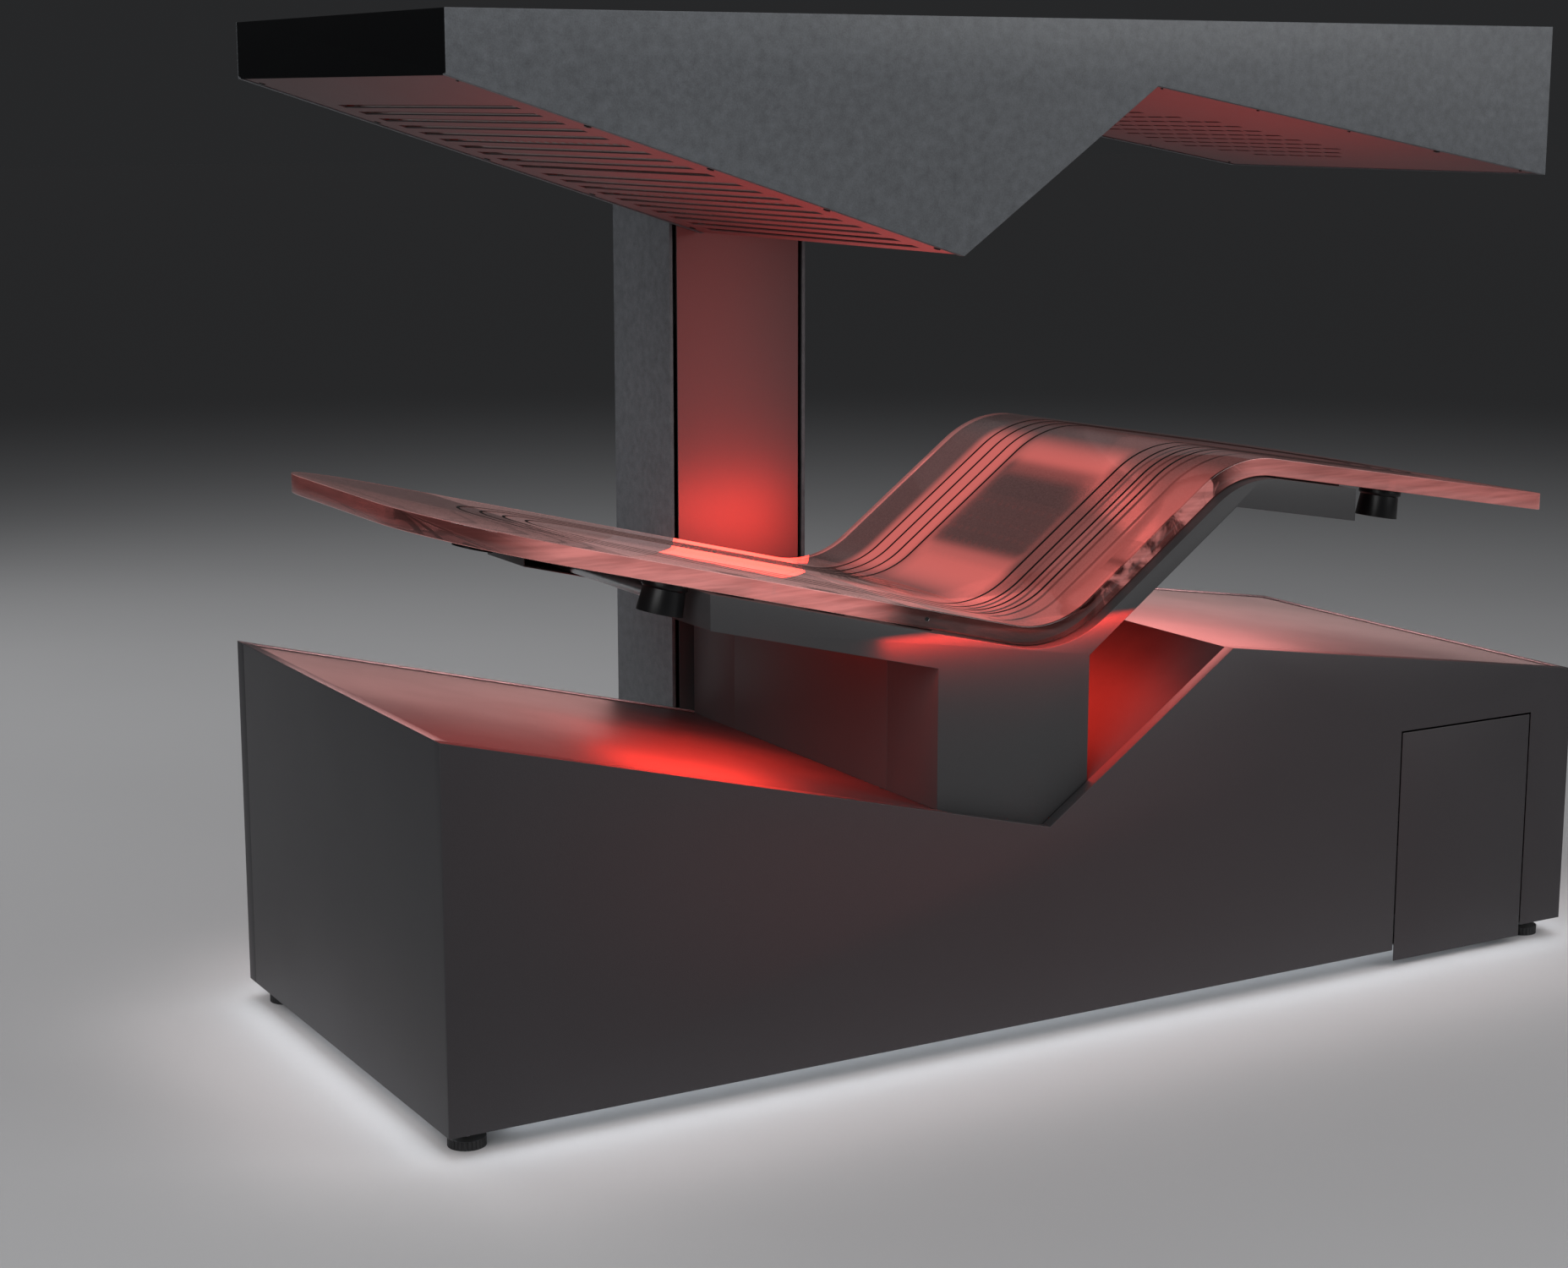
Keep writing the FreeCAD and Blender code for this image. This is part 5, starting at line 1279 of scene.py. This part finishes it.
@dataclass
class CanopyScrews:
    """Button-head socket screws that hold the canopy's underside panels, in metres."""

    head_r: float = 0.0055
    head_height: float = 0.0018
    head_reach: float = 0.0121
    crown_rim: float = 0.0009
    crown: float = 0.0006
    socket_r: float = 0.0026
    socket_depth: float = 0.0011
    shank_r: float = 0.0024
    sides: int = 24

    def screw(self, shank: float) -> Piece:
        """One screw with its head's face at the origin, looking up.

        Args:
            shank: Length of the shank under the head.

        Returns:
            The screw's mesh.
        """
        screw = Bench.cylinder(self.sides, self.head_r, self.head_height, -self.head_height)
        Bench.edit(screw, Part.FACES)
        Bench.pick_end(screw, End.FOOT)
        bpy.ops.mesh.inset(thickness=self.head_r - self.shank_r)
        bpy.ops.mesh.extrude_region_move(TRANSFORM_OT_translate={"value": (0.0, 0.0, -shank)})
        Bench.pick_end(screw, End.TOP)
        bpy.ops.mesh.inset(thickness=self.crown_rim)
        bpy.ops.mesh.inset(thickness=self.head_r - self.crown_rim - self.socket_r)
        bpy.ops.mesh.extrude_region_move(TRANSFORM_OT_translate={"value": (0.0, 0.0, -self.socket_depth)})
        Bench.pick(screw, Part.VERTS, lambda v: v.co.z > -TOUCH and v.co.xy.length > self.head_r - NEAR)
        bpy.ops.transform.translate(value=(0.0, 0.0, -self.crown))
        Bench.clear()
        for vertex in screw.data.vertices:
            if abs(vertex.co.xy.length - self.socket_r) < NEAR and vertex.co.z > -2 * self.socket_depth:
                vertex.co.xy *= self.hexed(math.atan2(vertex.co.y, vertex.co.x))
        return Bench.close(screw)

    @staticmethod
    def hexed(angle: float) -> float:
        """How far a hexagon's side lies inside its round, at an angle."""
        sector = math.pi / 3
        return math.cos(sector / 2) / math.cos(angle % sector - sector / 2)

    def head_face(self, points: list[Vector]) -> tuple[Vector, Vector]:
        """Way that a screw's head is taken to look, and the middle of its face.

        Known flaw: the shank's end is as far out as the head's rim, so the order of the
        points decides between them, and a screw that goes by its shank is turned over.

        Args:
            points: Corner points of the screw.

        Returns:
            Unit vector out of the head, and the face's centre.
        """
        far = max(points, key=lambda p: max((p - q).length for q in points))
        rim = [p for p in points if (p - far).length < self.head_reach]
        centre = sum(points, Vector()) / len(points)
        out = sum(rim, Vector()) / len(rim) - centre
        out.y = 0.0
        out.normalize()
        return out, centre + out * max((p - centre).dot(out) for p in points)

    def build(self) -> None:
        """Builds the screws at the places of the frame's own, as long as the last one measured."""
        places = []
        for points in islands("canopy_screws"):
            out, face = self.head_face(points)
            places.append(Matrix.Translation(face) @ Matrix.Rotation(math.atan2(out.x, out.z), 4, "Y"))
            length = max((face - point).dot(out) for point in points)
        screws = Bench.repeated(self.screw(length - self.head_height), places, "canopy_screw_set")
        dressed(screws, "dark_steel", Body.CANOPY, "canopy_screws")


@cache
def lit_pieces(nodes: tuple[str, ...]) -> bpy.types.Collection:
    """The pieces that stand for some nodes, as a collection that lamps can be kept to.

    Args:
        nodes: Names of frame nodes or of other pieces.

    Returns:
        The collection, made once for each choice of nodes.
    """
    lit = bpy.data.collections.new(f"{nodes[0]}_lit")
    for piece in bpy.data.objects:
        if piece.name.removesuffix("_sheet") in nodes:
            lit.objects.link(piece)
    return lit


@dataclass(frozen=True)
class Lamp:
    """Rectangular lamp that the camera doesn't see, kept to some pieces where it names any."""

    name: str
    place: Point
    aim: Point
    size: Span
    watts: float
    colour: Colour = WHITE
    reach: tuple[str, ...] = ()

    def build(self) -> Piece:
        """Adds the lamp to the scene."""
        data = bpy.data.lights.new(self.name, "AREA")
        data.shape = "RECTANGLE"
        data.size, data.size_y = self.size
        data.energy = self.watts
        data.color = self.colour
        lamp = bpy.data.objects.new(self.name, data)
        lamp.location = self.place
        lamp.rotation_euler = Vector(self.aim).to_track_quat("-Z", "Y").to_euler()
        lamp.visible_camera = False
        bpy.context.scene.collection.objects.link(lamp)
        if self.reach:
            lamp.light_linking.receiver_collection = lit_pieces(self.reach)
        return lamp


@dataclass
class Studio:
    """Camera, floor and soft light."""

    camera_place: Point = (-2.5529, -4.0260, 1.5055)
    camera_forward: Point = (0.4906, 0.8501, -0.1913)
    focal_px: float = 3244.3
    clip_end: float = 200.0
    floor_half: float = 60.0
    sky_low: Colour = (0.02, 0.0205, 0.0215)
    sky_high: Colour = (0.16, 0.163, 0.168)
    sky_fade: Span = (0.03, 0.5)

    def build(self) -> None:
        """Sets up the camera, the floor, the sky and the lamps."""
        bpy.context.scene.view_settings.view_transform = "Standard"
        self.camera()
        self.floor()
        self.world()
        for name, place, target, size, watts in (
            ("key", (-4.3, -3.1, 3.0), (0.0, -0.2, 0.7), (3.0, 3.0), 120.0),
            ("fill", (3.2, -4.2, 2.8), (0.2, -0.2, 0.7), (3.0, 2.5), 105.0),
            ("top", (0.0, 0.5, 4.6), (0.0, 0.0, 0.0), (4.5, 3.0), 60.0),
            ("back", (-2.6, 4.2, 2.4), (0.0, 0.0, 0.7), (3.0, 2.0), 55.0),
        ):
            lamp = Lamp(name, place, tuple(Vector(target) - Vector(place)), size, watts).build()
            # The slab would mirror the back lamp towards the camera.
            lamp.visible_glossy = name != "back"
            lamp.visible_transmission = name != "back"

    def camera(self) -> None:
        """Camera at the place and angle of the photograph."""
        data = bpy.data.cameras.new("photo_camera")
        data.sensor_width = SENSOR_WIDTH
        data.lens = self.focal_px * SENSOR_WIDTH / PHOTO_WIDTH
        data.clip_end = self.clip_end
        camera = bpy.data.objects.new("photo_camera", data)
        camera.location = self.camera_place
        camera.rotation_euler = Vector(self.camera_forward).to_track_quat("-Z", "Y").to_euler()
        bpy.context.scene.collection.objects.link(camera)
        bpy.context.scene.camera = camera

    def floor(self) -> None:
        """Wide flat floor under the bed."""
        Bench.clear()
        bpy.ops.mesh.primitive_plane_add(size=2 * self.floor_half, location=(0.0, 0.0, 0.0))
        floor = bpy.context.active_object
        floor.name = "studio_floor"
        floor.data.materials.append(FloorPaint().material())

    def world(self) -> None:
        """Soft sky that is dark at the horizon, so that it meets the far floor."""
        world = bpy.data.worlds.new("studio_sky")
        world.use_nodes = True
        nodes = Nodes(world.node_tree)
        height = nodes.along(nodes.add("ShaderNodeTexCoord").outputs["Generated"], Axis.Z)
        shade = nodes.mixed(nodes.ranged(height, self.sky_fade), self.sky_low, self.sky_high)
        nodes.feed(world.node_tree.nodes["Background"].inputs["Color"], shade)
        bpy.context.scene.world = world


@dataclass
class BedGlow:
    """Light that the bed's own strips and boards throw on the surfaces near them."""

    red: Colour = (1.0, 0.04, 0.025)
    dusk: Colour = (1.0, 0.1, 0.09)
    pink: Colour = (1.0, 0.3, 0.28)
    head_sheen: Colour = (1.0, 0.5, 0.47)
    foot_sheen: Colour = (1.0, 0.62, 0.59)
    fold: Colour = (1.0, 0.56, 0.54)
    strip: Colour = (0.9, 0.95, 1.0)
    halo: Colour = (1.0, 0.88, 0.87)
    strip_gap: float = 0.004
    strip_z: float = 0.05
    strip_width: float = 0.02
    strip_dip: float = -0.3
    halo_out: float = 0.12
    halo_z: float = 0.22
    halo_width: float = 0.1
    halo_share: float = 2.0

    def __post_init__(self) -> None:
        """Reads the middle of the slab across the bed from the frame."""
        self.mid_y = sum(corner.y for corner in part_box("bed_slab")) / 2

    def build(self) -> None:
        """Adds the lamps, each for the surfaces that it reaches."""
        for lamp in (*self.tops(), *self.upright(), *self.folds(), *self.underglow()):
            lamp.build()

    def tops(self) -> list[Lamp]:
        """Light on the cabinet's top panels and on the skins beside them."""
        skins = ("front_skin", "rear_skin", "head_end_panel", "foot_end_panel")
        head = ("head_top_panel", *skins)
        return [
            Lamp("glow_head_top", (-0.46, -0.2, 0.64), (-0.1, 0.0, -1.0), (0.24, 0.32), 5.2,
                 self.red, head),
            Lamp("glow_head_wide", (-0.76, self.mid_y - 0.1, 0.76), (-0.2, 0.0, -1.0), (0.5, 0.5), 1.3,
                 self.red, head),
            Lamp("glow_riser", (0.1, self.mid_y, 0.62), (0.57, 0.0, -0.82), (0.7, 0.3), 4.4,
                 self.red, ("riser_panel", *skins)),
            Lamp("glow_foot_top", (0.6, -0.2, 0.8), (0.1, -0.1, -1.0), (0.7, 0.5), 8.0,
                 self.pink, ("foot_top_panel", *skins)),
        ]

    def upright(self) -> list[Lamp]:
        """Light on the column, the canopy, the pedestal, the rail, the slab and the front."""
        cover_low, cover_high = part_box("column_front_cover")
        cover_x = (cover_low.x + cover_high.x) / 2
        cover = ("column_front_cover",)
        rail_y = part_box("front_rail")[0].y - 0.02
        front_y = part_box("front_skin")[0].y - 1.1
        behind = (3.0, 4.6, 0.75)
        forward = (-0.5, -0.85, -0.03)
        return [
            Lamp("glow_column_low", (cover_x, cover_low.y - 0.12, 0.72), (0.0, 1.0, 0.05), (0.3, 0.16), 3.0,
                 self.red, cover),
            Lamp("glow_column", (cover_x, cover_low.y - 0.35, 1.1), (0.0, 1.0, 0.1), (0.4, 0.8), 2.7,
                 self.dusk, cover),
            Lamp("glow_canopy", (0.0, self.mid_y, 0.95), (0.0, 0.0, 1.0), (1.9, 0.7), 9.5,
                 self.dusk, ("canopy_slotted_panel", "canopy_steep_panel", "canopy_vented_panel")),
            Lamp("glow_pedestal", (-0.62, self.mid_y - 0.08, 0.64), (1.0, 0.0, -0.15), (0.7, 0.08), 0.7,
                 self.red, ("pedestal_head_panel", "front_rail", "rear_rail")),
            Lamp("sheen_head", behind, forward, (7.0, 1.6), 95.0, self.head_sheen, ("head_top_panel",)),
            Lamp("sheen_foot", behind, forward, (7.0, 1.6), 80.0, self.foot_sheen, ("foot_top_panel",)),
            Lamp("glow_rail", (-0.1, rail_y, 0.685), (0.0, 0.55, -1.0), (0.5, 0.012), 1.0,
                 self.red, ("front_rail",)),
            Lamp("glow_slab", (-0.14, cover_low.y - 0.01, 0.71), (0.0, -1.0, 0.0), (0.28, 0.22), 1.05,
                 self.red, ("lounge_slab",)),
            Lamp("cast_front", (0.15, front_y, 0.2), (0.0, 1.0, 0.0), (1.3, 0.4), 2.0,
                 self.dusk, ("front_skin", "service_door")),
        ]

    def folds(self) -> list[Lamp]:
        """Light on the folded edges behind and at both ends, to match the top panels beside them."""
        return [
            Lamp(f"fold_{name}", place, (lean, 0.0, -1.0), size, watts, self.fold, (node,))
            for name, place, lean, size, watts, node in (
                ("rear_head", (-0.7, 0.24, 0.62), -0.25, (0.05, 0.7), 6.0, "rear_skin"),
                ("head_end", (-1.03, -0.11, 0.7), -0.25, (0.75, 0.05), 0.8, "head_end_panel"),
                ("rear_foot", (0.71, 0.24, 0.656), -0.15, (0.05, 0.7), 6.5, "rear_skin"),
                ("foot_end", (1.03, -0.11, 0.61), -0.15, (0.75, 0.05), 6.5, "foot_end_panel"),
            )
        ]

    def underglow(self) -> list[Lamp]:
        """White light that the strips under the cabinet throw over the floor, each with a soft halo."""
        (x0, y0, _), (x1, y1, _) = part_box("front_skin")[0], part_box("rear_skin")[1]
        mid_x, mid_y = (x0 + x1) / 2, (y0 + y1) / 2
        floor = ("studio_floor",)
        lamps = []
        for name, x, y, way, length, watts in (
            ("front", mid_x, y0 - self.strip_gap, (0.0, -1.0), x1 - x0, 0.7),
            ("rear", mid_x, y1 + self.strip_gap, (0.0, 1.0), x1 - x0, 0.7),
            ("head", x0 - self.strip_gap, mid_y, (-1.0, 0.0), y1 - y0, 0.28),
            ("foot", x1 + self.strip_gap, mid_y, (1.0, 0.0), y1 - y0, 0.28),
        ):
            out = (x + way[0] * self.halo_out, y + way[1] * self.halo_out, self.halo_z)
            spread = (length, self.halo_width) if way[1] else (self.halo_width, length)
            lamps.append(Lamp(f"underglow_{name}", (x, y, self.strip_z), (*way, self.strip_dip),
                              (length, self.strip_width), watts, self.strip, floor))
            lamps.append(Lamp(f"halo_{name}", out, (0.0, 0.0, -1.0), spread, watts * self.halo_share,
                              self.halo, floor))
        return lamps


def main() -> None:
    """Dresses the frame, models the pieces that need it and sets the studio."""
    logging.basicConfig(level=logging.INFO, format="%(message)s")
    curve = LoungeCurve()
    slab = LoungeSlab(curve)
    for maker in (FrameDress(), slab, Pucks(curve), EdgeBolts(slab), SheetWork(), Feet(), CanopyScrews(),
                  Studio(), BedGlow()):
        maker.build()


if __name__ == "__main__":
    main()
